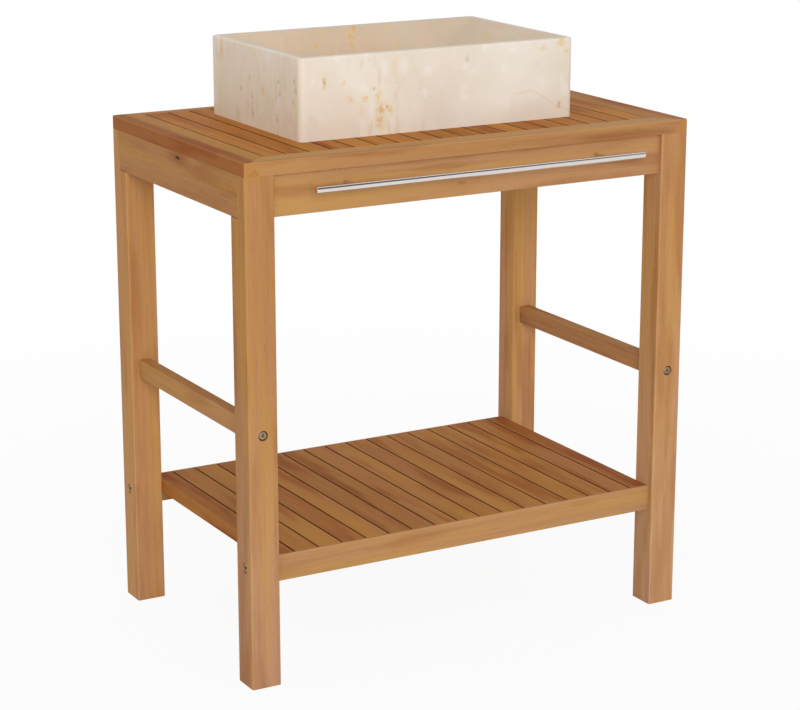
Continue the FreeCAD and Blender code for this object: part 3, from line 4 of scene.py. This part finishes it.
import bpy
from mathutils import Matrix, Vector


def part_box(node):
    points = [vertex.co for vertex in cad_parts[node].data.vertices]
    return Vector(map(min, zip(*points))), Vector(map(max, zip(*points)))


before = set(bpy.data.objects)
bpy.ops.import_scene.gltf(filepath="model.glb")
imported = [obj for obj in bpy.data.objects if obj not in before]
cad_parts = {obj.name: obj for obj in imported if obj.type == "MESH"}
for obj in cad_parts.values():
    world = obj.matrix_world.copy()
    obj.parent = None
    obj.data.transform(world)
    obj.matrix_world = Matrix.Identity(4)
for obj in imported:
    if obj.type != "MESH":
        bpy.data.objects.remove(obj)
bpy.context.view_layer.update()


# Legs: four square posts of oiled teak, planed and sanded, with the grain upright.
# Their long edges are eased, and counterbores in two of their faces take the bolt heads.
class Shade:
    """A number, colour or direction in a finish: sums on it add the nodes that work them out."""

    def __init__(self, tree, socket):
        self.tree = tree
        self.socket = socket

    def node(self, kind, settings, sockets, out=0):
        """A node of any type: its settings first, then its sockets by name or number."""
        made = self.tree.nodes.new(kind)
        for name, value in settings.items():
            setattr(made, name, value)
        for name, value in sockets.items():
            if isinstance(value, Shade):
                self.tree.links.new(value.socket, made.inputs[name])
            else:
                made.inputs[name].default_value = value
        return Shade(self.tree, made.outputs[out])

    def work(self, operation, first, second=0.0):
        """One sum: a Math node for numbers, a Vector Math node for colours and directions."""
        terms = [first, second]
        spread = [isinstance(term, tuple) or isinstance(term, Shade) and term.socket.type != "VALUE"
                  for term in terms]
        if not any(spread):
            return self.node("ShaderNodeMath", {"operation": operation}, dict(enumerate(terms)))
        terms = [(term,) * 3 if isinstance(term, (int, float)) else term for term in terms]
        return self.node("ShaderNodeVectorMath", {"operation": operation}, dict(enumerate(terms)))

    def __add__(self, other):
        return self.work("ADD", self, other)

    def __radd__(self, other):
        return self.work("ADD", other, self)

    def __sub__(self, other):
        return self.work("SUBTRACT", self, other)

    def __rsub__(self, other):
        return self.work("SUBTRACT", other, self)

    def __mul__(self, other):
        return self.work("MULTIPLY", self, other)

    def __rmul__(self, other):
        return self.work("MULTIPLY", other, self)

    def __truediv__(self, other):
        return self.work("DIVIDE", self, other)

    def __pow__(self, other):
        return self.work("POWER", self, other)

    def __abs__(self):
        return self.work("ABSOLUTE", self)

    def floor(self):
        return self.work("FLOOR", self)

    def sine(self):
        return self.work("SINE", self)

    def most(self, other):
        return self.work("MAXIMUM", self, other)

    def towards(self, direction):
        """How far this direction lies along another one: 1 along it, 0 square to it."""
        return self.node("ShaderNodeVectorMath", {"operation": "DOT_PRODUCT"}, {0: self, 1: direction}, 1)

    def length(self):
        return self.node("ShaderNodeVectorMath", {"operation": "LENGTH"}, {0: self}, 1)

    def axis(self, letter):
        return self.node("ShaderNodeSeparateXYZ", {}, {0: self}, "xyz".index(letter))

    def step(self, low, high):
        """0 below low, 1 above high and a soft rise between; the other way round where low is more."""
        return self.node("ShaderNodeMapRange", {"interpolation_type": "SMOOTHSTEP"},
                         {"Value": self, "From Min": low, "From Max": high})

    def between(self, first, second):
        """The colour that this share picks on the way from the first to the second."""
        return self.node("ShaderNodeMix", {"data_type": "RGBA"}, {0: self, 6: first, 7: second}, 2)

    def noise(self, scale, detail, out=0):
        return self.node("ShaderNodeTexNoise", {},
                         {"Vector": self, "Scale": scale, "Detail": detail}, out)

    def cells(self, scale, out=0):
        return self.node("ShaderNodeTexVoronoi", {}, {"Vector": self, "Scale": scale}, out)


def colour(code, strength=1.0, warmth=0.0):
    """A colour from its six-digit code, as light. Warmth takes blue, and a little green, away."""
    parts = [int(code[start:start + 2], 16) / 255 for start in (0, 2, 4)]
    light = [part / 12.92 if part < 0.04045 else ((part + 0.055) / 1.055) ** 2.4 for part in parts]
    green_share = 0.35
    kept = (1.0, 1.0 - green_share * warmth, 1.0 - warmth)
    return tuple(strength * share * part for share, part in zip(kept, light)) + (1.0,)


def begin(name, fixed):
    """A new finish with its fixed numbers, and the position on the object that it is drawn from."""
    material = bpy.data.materials.new(name)
    material.use_nodes = True
    shader = material.node_tree.nodes["Principled BSDF"]
    for socket, value in fixed.items():
        shader.inputs[socket].default_value = value
    place = material.node_tree.nodes.new("ShaderNodeTexCoord")
    return material, Shade(material.node_tree, place.outputs["Object"])


def lay(material, tint, roughness, relief, depth):
    """Lead a finish's colour, roughness and relief to its shader."""
    shader = material.node_tree.nodes["Principled BSDF"]
    bump = relief.node("ShaderNodeBump", {}, {"Strength": 1.0, "Distance": depth, "Height": relief})
    for socket, value in (("Base Color", tint), ("Roughness", roughness), ("Normal", bump)):
        material.node_tree.links.new(value.socket, shader.inputs[socket])


def dress(material, *names):
    """Give the named pieces a finish."""
    for name in names:
        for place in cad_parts[name].material_slots:
            place.material = material


def teak(name, grain, middle, seed, tone=1.0, warmth=0.0, slats=None, knot=None, heartwood=None,
         ends=0.45, pallor=0.0):
    """Oiled teak with its grain along one axis. Each board, or each slat of a row, differs.

    slats: where the first slat starts, the pitch of the row and its outer faces, from the middle.
    knot: its place and darkness. heartwood: the axis across the board, where along it the sapwood
    ends, where it is darkest, and how dark. ends: how dark the sawn ends are. pallor: how much a
    leg pales towards the floor, as painted light for the white floor's glow on it.
    """

    def board_colour(code):
        return colour(code, tone, warmth)

    def drawn_out(lengthways, crossways=1.0):
        """How fine a pattern is along the grain, and across it."""
        return tuple(lengthways if part else crossways for part in along)

    material, place = begin(name, {"Specular IOR Level": 0.05})
    along = tuple(float(letter == grain) for letter in "xyz")
    across = tuple(1.0 - part for part in along)
    if slats:
        first_edge, pitch, outer_face = slats
        number = ((place.axis("x") - first_edge) / pitch).floor()
        luck = place.node("ShaderNodeTexWhiteNoise", {"noise_dimensions": "1D"}, {"W": number + seed}, 1)
        centre = place.node("ShaderNodeCombineXYZ", {}, {"X": (number + 0.5) * pitch + first_edge,
                                                        "Y": middle[1], "Z": middle[2]})
        spot = place - centre
        shift = luck * 6.0
        heart = (luck - 0.5) * 0.22
        redness = luck.axis("z") * 0.46 - 0.12
        depth_of_tone = luck.axis("y") * 0.20 - 0.08
    else:
        draw = random.Random(seed)
        luck = [draw.random() for part in along]
        spot = place - tuple(middle)
        shift = tuple(6.0 * part for part in luck)
        heart = tuple(0.22 * (part - 0.5) for part in luck)
        redness = luck[2] * 0.16 - 0.12
        depth_of_tone = luck[1] * 0.08 - 0.04
    log = (spot + shift) * drawn_out(0.055)
    sway = log.noise(10.0, 2.0)
    band = log.noise(36.0, 1.0)
    cloud = log.noise(19.0, 2.0)
    patch = ((spot + shift) * drawn_out(0.14)).noise(34.0, 2.0)
    radius = ((spot - heart) * across).length()
    rings_per_metre, sway_in_rings = 130.0, 7.0
    ring = ((radius * rings_per_metre + sway * sway_in_rings) * math.tau).sine() * 0.5 + 0.5
    fibre = ((spot + shift) * drawn_out(14.0, 620.0)).noise(1.0, 3.0)
    pore = ((spot + shift) * drawn_out(26.0, 430.0)).cells(1.0).step(0.24, 0.10)
    streak = log.noise(58.0, 3.0).step(0.56, 0.74)
    late = ring ** 3.0
    facing = abs(place.node("ShaderNodeTexCoord", {}, {}, 1))
    cut_end = facing.axis(grain).step(0.60, 0.85)
    if slats:
        sapwood_tint, tan, brown, russet = "C68F48", "C18850", "B3793E", "9C5728"
    else:
        sapwood_tint, tan, brown, russet = "C39153", "BF8C5E", "B37F4D", "9A5A2E"
    tint = band.step(0.38, 0.62).between(board_colour(sapwood_tint), board_colour(tan))
    tint = (cloud.step(0.35, 0.70) * 0.5).between(tint, board_colour(brown))
    figure = 0.60 if slats else 0.42
    ruddy = patch.step(0.48, 0.70) * figure + redness
    if heartwood:
        side, sapwood, darkest, share = heartwood
        edge_on = (abs(place.axis(side)) + (sway - 0.5) * 0.02).step(sapwood, darkest)
        ruddy = ruddy + edge_on * (1.0 - cut_end) * share
    tint = ruddy.between(tint, board_colour(russet))
    shaded = late * 0.07 + streak * 0.22 + pore * 0.16 + (fibre - 0.5) * 0.40 + depth_of_tone
    tint = shaded.between(tint, board_colour("6E4022"))
    tint = (cut_end * ends).between(tint, board_colour("6B4124"))
    # Eased edges drawn lighter: partly wear, partly a painted highlight where the rounded edges catch the
    # light.
    flat = facing.axis("x").most(facing.axis("y")).most(facing.axis("z"))
    wear_and_highlight = flat.step(0.995, 0.90)
    tint = (wear_and_highlight * 0.20).between(tint, board_colour("D6A974"))
    # Painted shade: the slats' side faces in the gaps between them are darkened, standing in for the shade
    # down there.
    if slats:
        gap_shade = facing.axis("x").step(0.20, 0.65) * abs(place.axis("x")).step(outer_face, outer_face - 0.001)
        tint = (gap_shade * 0.85).between(tint, board_colour("4C250B"))
    if knot:
        knot_spot, darkness = knot
        eye_rim, eye_core = 0.0034, 0.0014
        halo_rim, halo_core = 0.016, 0.004
        near = ((place - knot_spot) * drawn_out(0.30)).length()
        eye = (near + (fibre - 0.5) * 0.0016).step(eye_rim, eye_core)
        halo = (near + (cloud - 0.5) * 0.010).step(halo_rim, halo_core)
        tint = (halo * darkness * 0.53).between(tint, board_colour("8A4A22"))
        tint = (eye * darkness).between(tint, board_colour("3A2412"))
    # Painted light: the legs pale and cool towards the floor, standing in for white light thrown up from
    # the floor.
    if pallor:
        pale_from, palest_at = 0.60, 0.05
        floor_light_tint = (0.09, 0.20, 0.70)
        lower = place.axis("z").step(pale_from, palest_at) * pallor
        tint = tint * (lower * floor_light_tint + 1.0)
    gloss = 0.52 + fibre * 0.16 + pore * 0.12 + cut_end * 0.15 - wear_and_highlight * 0.06
    lay(material, tint, gloss, fibre * 0.5 - pore * 0.8 - late * 0.2, 0.00012)
    return material


def middle_of(name):
    """The middle of a piece's box."""
    low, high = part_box(name)
    return [(near + far) / 2 for near, far in zip(low, high)]


for seed, (leg, tone, warmth, pallor) in enumerate((
        ("leg_front_left", 0.95, 0.10, 1.0), ("leg_front_right", 1.09, -0.06, 1.1),
        ("leg_back_left", 1.13, -0.03, 0.2), ("leg_back_right", 1.14, -0.06, 0.4)), start=11):
    dress(teak(f"teak_{leg}", "z", middle_of(leg), seed, tone, warmth, pallor=pallor), leg)

# Aprons: four teak boards on edge that tie the legs together under the top.
# The front and back boards are dowelled between the legs, the side boards lapped into them.
for seed, (apron, grain, tone, warmth, knot) in enumerate((
        ("apron_front", "x", 0.98, -0.12, ((-0.0198, -0.2018, 0.6990), 0.2)),
        ("apron_back", "x", 1.0, 0.0, None),
        ("apron_left", "y", 0.93, 0.08, ((-0.365, 0.006, 0.733), 0.85)),
        ("apron_right", "y", 0.97, 0.05, None)), start=31):
    dress(teak(f"teak_{apron}", grain, middle_of(apron), seed, tone, warmth, knot=knot), apron)

# Top frame: two edge boards over the legs, a front rail mitred between them and a narrow back
# rail, all of teak. Dowels from the legs and aprons hold them from below.
for seed, (board, grain, tone, warmth, heartwood) in enumerate((
        ("top_edge_left", "y", 0.98, 0.16, ("x", 0.337, 0.350, 0.75)),
        ("top_edge_right", "y", 1.03, 0.10, ("x", 0.340, 0.356, 0.5)),
        ("top_front_rail", "x", 1.02, -0.20, ("y", 0.203, 0.2085, 0.30)),
        ("top_back_rail", "x", 1.0, 0.0, None)), start=52):
    dress(teak(f"teak_{board}", grain, middle_of(board), seed, tone, warmth,
               heartwood=heartwood, ends=0.05), board)

# Top slats: eighteen teak strips with narrow gaps, tongued into the rails at both ends.
# They come from different boards, so that ochre and reddish strips lie side by side.
TOP_SLATS = 18
slat_low, slat_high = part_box("top_slat_01")
next_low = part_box("top_slat_02")[0]
top_slats = [f"top_slat_{number:02d}" for number in range(1, TOP_SLATS + 1)]
top_pitch = next_low[0] - slat_low[0]
top_start = slat_low[0] - (top_pitch - (slat_high[0] - slat_low[0])) / 2
dress(teak("teak_top_slats", "y", middle_of("top_slat_01"), 7, 1.02, 0.30,
           slats=(top_start, top_pitch, 1.0)), *top_slats)

# Battens: plain teak strips under the slats of the top and of the shelf.
# Each slat is screwed to them from below, so they only show to an eye near the floor.
for seed, batten in enumerate(("top_batten_front", "top_batten_back", "shelf_batten"), start=71):
    dress(teak(f"teak_{batten}", "x", middle_of(batten), seed, 0.92), batten)

# Shelf: two teak rails bolted between the legs, with seventeen slats let in behind a thin lip.
# The two slats at the ends are narrower than the rest.
for seed, rail in enumerate(("shelf_front_rail", "shelf_back_rail"), start=84):
    dress(teak(f"teak_{rail}", "x", middle_of(rail), seed, 1.02, -0.15), rail)
edge_low, edge_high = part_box("shelf_edge_slat_left")
row_low, row_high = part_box("shelf_slats")
shelf_gap = row_low[0] - edge_high[0]
FULL_SHELF_SLATS = 15
shelf_pitch = (row_high[0] - row_low[0] + shelf_gap) / FULL_SHELF_SLATS
shelf_side = -edge_low[0] - 0.002
dress(teak("teak_shelf_slats", "y", middle_of("shelf_slats"), 23, 1.04,
           slats=(row_low[0] - shelf_gap / 2, shelf_pitch, shelf_side),
           heartwood=("x", 0.286, 0.300, 0.36)),
      "shelf_slats", "shelf_edge_slat_left", "shelf_edge_slat_right")

# Stretchers: slim teak bars between the front and back legs at each side.
# A bolt through each leg draws them tight, and a small dowel keeps them from turning.
for seed, stretcher in enumerate(("stretcher_left", "stretcher_right"), start=94):
    dress(teak(f"teak_{stretcher}", "y", middle_of(stretcher), seed), stretcher)

# Dowels: fluted beech pins that are glued into the joints of the frame.
# Only their ends would show, and those lie inside the boards.
beech, place = begin("beech", {"Specular IOR Level": 0.3})
fleck = (place * (900.0, 900.0, 160.0)).cells(1.0).step(0.30, 0.12)
haze = place.noise(60.0, 2.0)
pale = haze.step(0.3, 0.7).between(colour("D9B384"), colour("C99F6C"))
lay(beech, (fleck * 0.35).between(pale, colour("A9794A")), 0.55 + haze * 0.15, haze - fleck * 0.4, 0.0001)
dress(beech, "frame_dowels", "locating_dowels")

# Bolts, barrel nuts and screws: zinc-plated steel with a dull grey sheen.
# The bolts have a hex socket and sit in the legs' counterbores, just below the surface.
zinc, place = begin("zinc_steel", {"Metallic": 1.0})
bloom = place.noise(420.0, 3.0)
spangle = place.cells(900.0, 1).axis("x")
# The zinc's grey is warmed towards brown: a painted reflection of the teak around the bolt heads.
zinc_grey_and_reflection = (bloom * 0.6 + spangle * 0.4).between(colour("8A7B64"), colour("B3A48A"))
tarnish = place.noise(90.0, 2.0).step(0.55, 0.72)
lay(zinc, (tarnish * 0.4).between(zinc_grey_and_reflection, colour("6E6251")), 0.34 + bloom * 0.22, bloom, 0.00005)
dress(zinc, "frame_bolts", "barrel_nuts", "lap_screws", "slat_screws", "towel_bar_screws")

# Towel bar: a round stainless bar on two short posts in front of the front apron.
# The bar is brushed along its length, and screws from behind the apron hold the posts.
stainless, place = begin("stainless", {"Metallic": 1.0})
brush = (place * (6.0, 2400.0, 2400.0)).noise(1.0, 2.0)
smear = place.noise(35.0, 2.0)
steel = brush.between(colour("C9C3BF"), colour("EFE7E3"))
lay(stainless, steel, 0.11 + brush * 0.08 + smear.step(0.5, 0.75) * 0.04, brush, 0.00001)
dress(stainless, "towel_bar", "towel_bar_posts")

# Basin: one block of cream marble, sawn, hollowed and honed. Its four walls slope from the rim down
# to a small flat floor round the waste. It stands loose on the slats, and the waste clamps it.
(left_face, front_face, foot), (right_face, back_face, rim_level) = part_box("basin")
draw = random.Random(17)
LENS_SPOT = (-1.8870, -3.4615, 1.5382)
LENS_TURN = math.radians(29.07)
LENS_PIXELS = 2521.0
LENS_CENTRE = (424.4, -384.0)


def on_stone(across, down):
    """The place on the basin that a pixel of the photograph shows.

    The photograph's lens stood level and was shifted, which this scene's camera isn't. So it has values
    of its own, fitted to the corners of the legs, the top and the basin.
    """
    right = (across - LENS_CENTRE[0]) / LENS_PIXELS
    up = (LENS_CENTRE[1] - down) / LENS_PIXELS
    sight = (math.sin(LENS_TURN) + right * math.cos(LENS_TURN),
             math.cos(LENS_TURN) - right * math.sin(LENS_TURN), up)
    solids = bpy.context.evaluated_depsgraph_get()
    return tuple(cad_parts["basin"].ray_cast(LENS_SPOT, sight, depsgraph=solids)[1])


def strewn(count, reach, strength):
    """Marks of one kind at random places on the back and right faces."""
    marks = []
    for number in range(count):
        along_back = draw.uniform(left_face, right_face)
        along_right = draw.uniform(front_face, back_face)
        for x, y in ((along_back, back_face), (right_face, along_right)):
            level = draw.uniform(foot, rim_level)
            marks.append(((x, y, level), reach * draw.uniform(0.6, 1.3), 0.6, strength))
    return marks


def nearness(place, marks, ragged):
    """1 in the middle of a mark on the stone, 0 at its ragged edge and less outside."""
    nearest = None
    for spot, reach, squat, strength in marks:
        stretched = (place - spot) * (1.0 / reach, 1.0 / reach, squat / reach)
        inside = (1.0 - ragged - stretched.length()) * strength
        nearest = inside if nearest is None else nearest.most(inside)
    return nearest


# A mark picked in the photograph: its pixel across and down, its reach in metres, how squat it
# is (below 1 it stands tall) and its strength. The milky spots and the pits of a face share a reach.
amber_on_front = (
    (380.8, 108.1, 0.014, 0.7, 1.0), (380.4, 118.0, 0.013, 0.6, 1.0), (377.9, 123.8, 0.010, 1.2, 0.8),
    (386.2, 105.6, 0.010, 1.0, 0.9), (389.6, 108.1, 0.010, 1.0, 0.9), (378.4, 97.3, 0.012, 0.6, 0.7),
    (365.5, 98.1, 0.010, 1.2, 1.0), (361.4, 108.9, 0.012, 1.0, 0.7), (350.6, 98.9, 0.012, 1.0, 0.7),
    (373.8, 88.2, 0.006, 0.8, 0.7), (344.8, 84.0, 0.007, 1.0, 0.8), (326.9, 82.4, 0.005, 0.3, 1.0),
    (387.0, 125.5, 0.013, 2.0, 0.5), (393.7, 66.0, 0.007, 0.3, 0.6), (324.0, 125.5, 0.007, 0.6, 0.5),
    (552.0, 41.0, 0.011, 0.9, 1.0), (535.5, 47.0, 0.009, 1.0, 0.8), (556.9, 49.5, 0.009, 0.9, 0.7),
    (530.0, 61.9, 0.006, 1.0, 0.6), (550.7, 100.5, 0.014, 1.0, 0.5))
amber_on_left = (
    (232.0, 46.7, 0.012, 0.35, 0.8), (269.7, 89.2, 0.014, 0.7, 0.8), (260.0, 104.0, 0.008, 0.35, 0.7),
    (271.2, 69.8, 0.014, 0.8, 0.4))
amber_in_bowl = (
    (357.0, 24.5, 0.013, 1.0, 1.0), (354.8, 33.7, 0.014, 1.0, 1.0), (355.5, 40.6, 0.013, 1.0, 1.0),
    (321.8, 42.9, 0.012, 1.0, 0.9), (326.4, 33.7, 0.008, 1.0, 0.6), (417.5, 47.2, 0.012, 1.0, 1.0),
    (389.2, 24.5, 0.016, 1.0, 0.6), (398.4, 40.6, 0.022, 1.0, 0.5), (329.5, 51.3, 0.028, 1.0, 0.5),
    (498.0, 24.0, 0.012, 1.0, 0.9), (484.0, 31.5, 0.014, 1.0, 0.9), (480.0, 35.0, 0.012, 1.0, 0.8))
milk_on_front = (
    (383.7, 69.1, 0.5), (402.4, 65.8, 0.7), (424.4, 69.9, 0.8), (364.3, 87.3, 1.0), (371.7, 108.0, 0.5),
    (421.5, 91.9, 1.0), (461.1, 66.5, 0.8), (505.5, 49.5, 1.0), (479.8, 48.7, 1.0), (459.9, 94.7, 1.2),
    (498.0, 66.5, 1.0), (556.1, 85.6, 0.7))
pits_on_front = ((462.4, 58.2, 0.6), (373.8, 88.2, 1.0), (326.9, 82.4, 0.5), (550.7, 100.5, 0.7))
pits_on_left = (
    (249.2, 85.8, 0.8), (283.9, 81.6, 1.3), (298.8, 82.5, 0.5), (299.6, 90.7, 0.5), (297.7, 102.6, 1.0),
    (282.4, 117.2, 0.6), (257.8, 75.8, 1.0), (260.0, 93.7, 0.8), (285.0, 93.7, 0.5), (260.0, 110.5, 0.6))
amber_marks = [(on_stone(across, down), reach, squat, strength) for across, down, reach, squat, strength
               in amber_on_front + amber_on_left + amber_in_bowl]
amber_marks += strewn(8, 0.011, 0.9)
milky_marks = [(on_stone(across, down), 0.012, squat, 1.0) for across, down, squat in milk_on_front]
milky_marks += strewn(6, 0.012, 1.0)
pit_marks = [(on_stone(across, down), 0.005, squat, 1.0) for across, down, squat in pits_on_front]
pit_marks += [(on_stone(across, down), 0.006, squat, 1.0) for across, down, squat in pits_on_left]
pit_marks += strewn(5, 0.006, 1.0)

marble, place = begin("marble", {"Specular IOR Level": 0.30})
drift = (place.noise(6.0, 2.0, 1) - 0.5) * 0.04
bed = place + drift
ragged = (place.noise(210.0, 4.0) - 0.5) * 1.6
pale = bed.noise(8.0, 3.0).step(0.36, 0.64).between(colour("EFE7DA"), colour("E7DBCB"))
rosy = bed.noise(4.0, 1.0).step(0.45, 0.70)
pale = (rosy * 0.4).between(pale, colour("E8D8C9"))
# Painted light: the left face is warmed, standing in for warm light thrown back from the teak; the left
# end as a whole is a little warmer too.
left_mottle = (bed * (1.0, 1.0, 0.22)).noise(70.0, 2.0).step(0.36, 0.64)
left_end = place.axis("x").step(0.06, -0.15)
outer_skin = 0.004
left_bounce_and_tone = place.axis("x").step(left_face + outer_skin, left_face) * 0.45 + left_end * 0.10
pale = left_bounce_and_tone.between(pale, left_mottle.between(colour("F2D9C8"), colour("E8D6B0")))
milky = (bed * (1.0, 1.0, 0.65)).noise(36.0, 3.0).step(0.57, 0.76)
pale = (milky * 0.40).between(pale, colour("F6F1EB"))
pale = (nearness(place, milky_marks, ragged * 0.6).step(0.0, 1.1) * 0.42).between(pale, colour("F6F2EE"))
region = bed.noise(13.0, 2.0).step(0.38, 0.62) * (left_end * 0.8 + 0.2)
below_rim = place.axis("z").step(rim_level + 0.002, rim_level - 0.018)
runs = (bed * (1.0, 1.0, 0.26)).noise(84.0, 3.0).step(0.50, 0.70) * region * below_rim
pale = (runs * 0.34).between(pale, colour("C9AC7C"))
speck = (bed * (1.0, 1.0, 0.4)).cells(120.0).step(0.15, 0.05) * region
pale = (speck * 0.30).between(pale, colour("957F4E"))
vein_level, vein_bend, vein_fall = 0.8035, 0.155, 0.55
vein_edge, vein_core = 0.0022, 0.0004
wander = (place.noise(34.0, 3.0) - 0.5) * 0.018
vein_drop = place.axis("z") - vein_level + (place.axis("x") - vein_bend).most(0.0) * vein_fall + wander
vein_reach = place.axis("x").step(0.118, 0.136) * place.axis("y").step(-0.09, -0.10)
vein = abs(vein_drop).step(vein_edge, vein_core) * vein_reach
pale = (vein * 0.22).between(pale, colour("D6B478"))
# Painted shade: all within the outer faces, rim top and hollow alike, is darkened and warmed, standing in
# for the shade inside the bowl.
bowl_wide = abs(place.axis("x")).step(right_face - outer_skin, right_face - 2 * outer_skin)
bowl_deep = place.axis("y").step(front_face + outer_skin, front_face + 2 * outer_skin)
bowl_back = place.axis("y").step(back_face - outer_skin, back_face - 2 * outer_skin)
bowl = bowl_wide * bowl_deep * bowl_back
bowl_shade = bed.noise(24.0, 2.0).step(0.40, 0.60).between(colour("D6A876"), colour("C9AA7C"))
pale = (bowl * 0.50).between(pale, bowl_shade)
amber = nearness(place, amber_marks, ragged)
pale = (amber.step(0.0, 0.8) * 0.45).between(pale, colour("E8CA98"))
pale = (amber.step(0.35, 1.1) * 0.62).between(pale, colour("DDB265"))
pale = (amber.step(0.90, 1.40) * 0.45).between(pale, colour("C39450"))
pits = nearness(place, pit_marks, ragged).step(0.0, 1.2)
pale = (pits * 0.42).between(pale, colour("95783C"))
grit = place.noise(900.0, 2.0)
honed = 0.40 + grit * 0.10 + runs * 0.10
lay(marble, pale, honed, grit * 0.25 - speck * 0.8 - pits * 0.8 - vein * 0.5, 0.00010)
dress(marble, "basin")

# Waste: a chromed brass body through the basin and the top, clamped by a brass nut from below
# between two rubber rings. Its click cartridge is of bare brass.
chrome, place = begin("chrome", {"Metallic": 1.0})
wiped = place.noise(130.0, 3.0)
spots = place.cells(420.0).step(0.20, 0.10) * place.noise(60.0, 1.0).step(0.50, 0.65)
bright = (spots * 0.35).between(colour("DADCDD"), colour("B7B6B0"))
lay(chrome, bright, 0.07 + wiped.step(0.45, 0.75) * 0.08 + spots * 0.12, wiped - spots * 0.5, 0.00002)
dress(chrome, "waste_body", "waste_plug")
brass, place = begin("brass", {"Metallic": 1.0})
patina = place.noise(160.0, 3.0)
turned_marks = (place.axis("z") * 9000.0).sine()
lay(brass, patina.step(0.35, 0.7).between(colour("C9A45C"), colour("9C7B3E")),
    0.26 + patina * 0.2, turned_marks, 0.00001)
dress(brass, "waste_nut", "waste_cartridge")
rubber, place = begin("rubber", {"Specular IOR Level": 0.4})
dust = place.noise(240.0, 3.0)
lay(rubber, dust.between(colour("1B1B1C"), colour("333231")), 0.62 + dust * 0.2, dust, 0.00008)
dress(rubber, "waste_seals", "plug_seal")

# Studio: a plain white floor that keeps a soft shadow, daylight from all round that is strongest
# from the front, and one wide lamp above the camera. The ceiling is darker, and metal shows it.
AMBIENT = 0.60
FRONT_LIGHT = 0.15
FRONT_HEADING = (-0.4, -0.92, 0.0)
CEILING_HEADING = (0.0, -0.47, 0.88)
CEILING_SHADE = 0.88
FLOOR_REACH = 9.0
FLOOR_SIDES = 64
FLOOR_GREY = 0.86
WHITE_AT_FEET = 0.93
LAMP_SPOT = (-1.80, -4.40, 2.10)
LAMP_AIM = (0.0, 0.0, 0.45)
LAMP_WIDE = 2.0
LAMP_POWER = 88.0
scene = bpy.context.scene
scene.view_settings.view_transform = "Standard"


def seen_directly(start):
    """Two shares: what the camera sees, and what it sees by itself, in a reflection or through glass."""
    rays = start.node("ShaderNodeLightPath", {}, {})
    outputs = rays.socket.node.outputs
    kinds = [Shade(start.tree, outputs[name])
             for name in ("Is Camera Ray", "Is Glossy Ray", "Is Transmission Ray")]
    return kinds[0], kinds[0].most(kinds[1]).most(kinds[2])


world = bpy.data.worlds.new("studio")
world.use_nodes = True
scene.world = world
background = world.node_tree.nodes["Background"]
background.inputs["Color"].default_value = (1.0, 1.0, 1.0, 1.0)
heading = Shade(world.node_tree, world.node_tree.nodes.new("ShaderNodeTexCoord").outputs["Generated"])
by_camera, by_eye = seen_directly(heading)
daylight = heading.towards(FRONT_HEADING).most(0.0) * FRONT_LIGHT + AMBIENT
ceiling = heading.towards(CEILING_HEADING).step(0.70, 0.82) * (1.0 - by_camera) * CEILING_SHADE
strength = by_eye * (1.0 - ceiling) + (1.0 - by_eye) * daylight
world.node_tree.links.new(strength.socket, background.inputs["Strength"])

rim = []
for side in range(FLOOR_SIDES):
    turn = side * math.tau / FLOOR_SIDES
    rim.append((FLOOR_REACH * math.cos(turn), FLOOR_REACH * math.sin(turn), 0.0))
floor_mesh = bpy.data.meshes.new("floor")
floor_mesh.from_pydata(rim, [], [list(range(FLOOR_SIDES))])
floor = bpy.data.objects.new("floor", floor_mesh)
scene.collection.objects.link(floor)
paper = bpy.data.materials.new("paper")
paper.use_nodes = True
tree = paper.node_tree
tree.nodes.remove(tree.nodes["Principled BSDF"])
place = Shade(tree, tree.nodes.new("ShaderNodeTexCoord").outputs["Object"])
far_off = place.length().step(0.5, 2.4)
white = place.node("ShaderNodeEmission", {}, {"Color": (1.0, 1.0, 1.0, 1.0), "Strength": 1.0})
matt = place.node("ShaderNodeBsdfDiffuse", {}, {"Color": (FLOOR_GREY, FLOOR_GREY, FLOOR_GREY, 1.0)})
share = seen_directly(place)[1] * (WHITE_AT_FEET + far_off * (1.0 - WHITE_AT_FEET))
surface = place.node("ShaderNodeMixShader", {}, {0: share, 1: matt, 2: white})
tree.links.new(surface.socket, tree.nodes["Material Output"].inputs["Surface"])
floor.data.materials.append(paper)

light = bpy.data.lights.new("window", "AREA")
light.shape = "DISK"
light.size = LAMP_WIDE
light.energy = LAMP_POWER
lamp = bpy.data.objects.new("window", light)
scene.collection.objects.link(lamp)
lamp.location = LAMP_SPOT
aside, ahead, rise = [end - start for start, end in zip(LAMP_SPOT, LAMP_AIM)]
lamp.rotation_euler = (math.atan2(math.hypot(aside, ahead), -rise), 0.0, math.atan2(-aside, ahead))
lamp.visible_camera = False

# Camera: a long lens on a tripod before the left front corner, tilted a little down. Its place and
# turn were fitted to the corners of the legs, the top and the basin in the photograph.
PHOTO_WIDE = 800
FOCAL_PIXELS = 2392.67
CAMERA_SPOT = (-1.73738, -3.05970, 1.35480)
CAMERA_DIP = 0.26608
CAMERA_TURN = -0.51485
camera = bpy.data.cameras.new("camera")
camera.sensor_width = 36.0
camera.lens = FOCAL_PIXELS / PHOTO_WIDE * camera.sensor_width
tripod = bpy.data.objects.new("camera", camera)
scene.collection.objects.link(tripod)
tripod.location = CAMERA_SPOT
tripod.rotation_euler = (math.pi / 2 - CAMERA_DIP, 0.0, CAMERA_TURN)
scene.camera = tripod
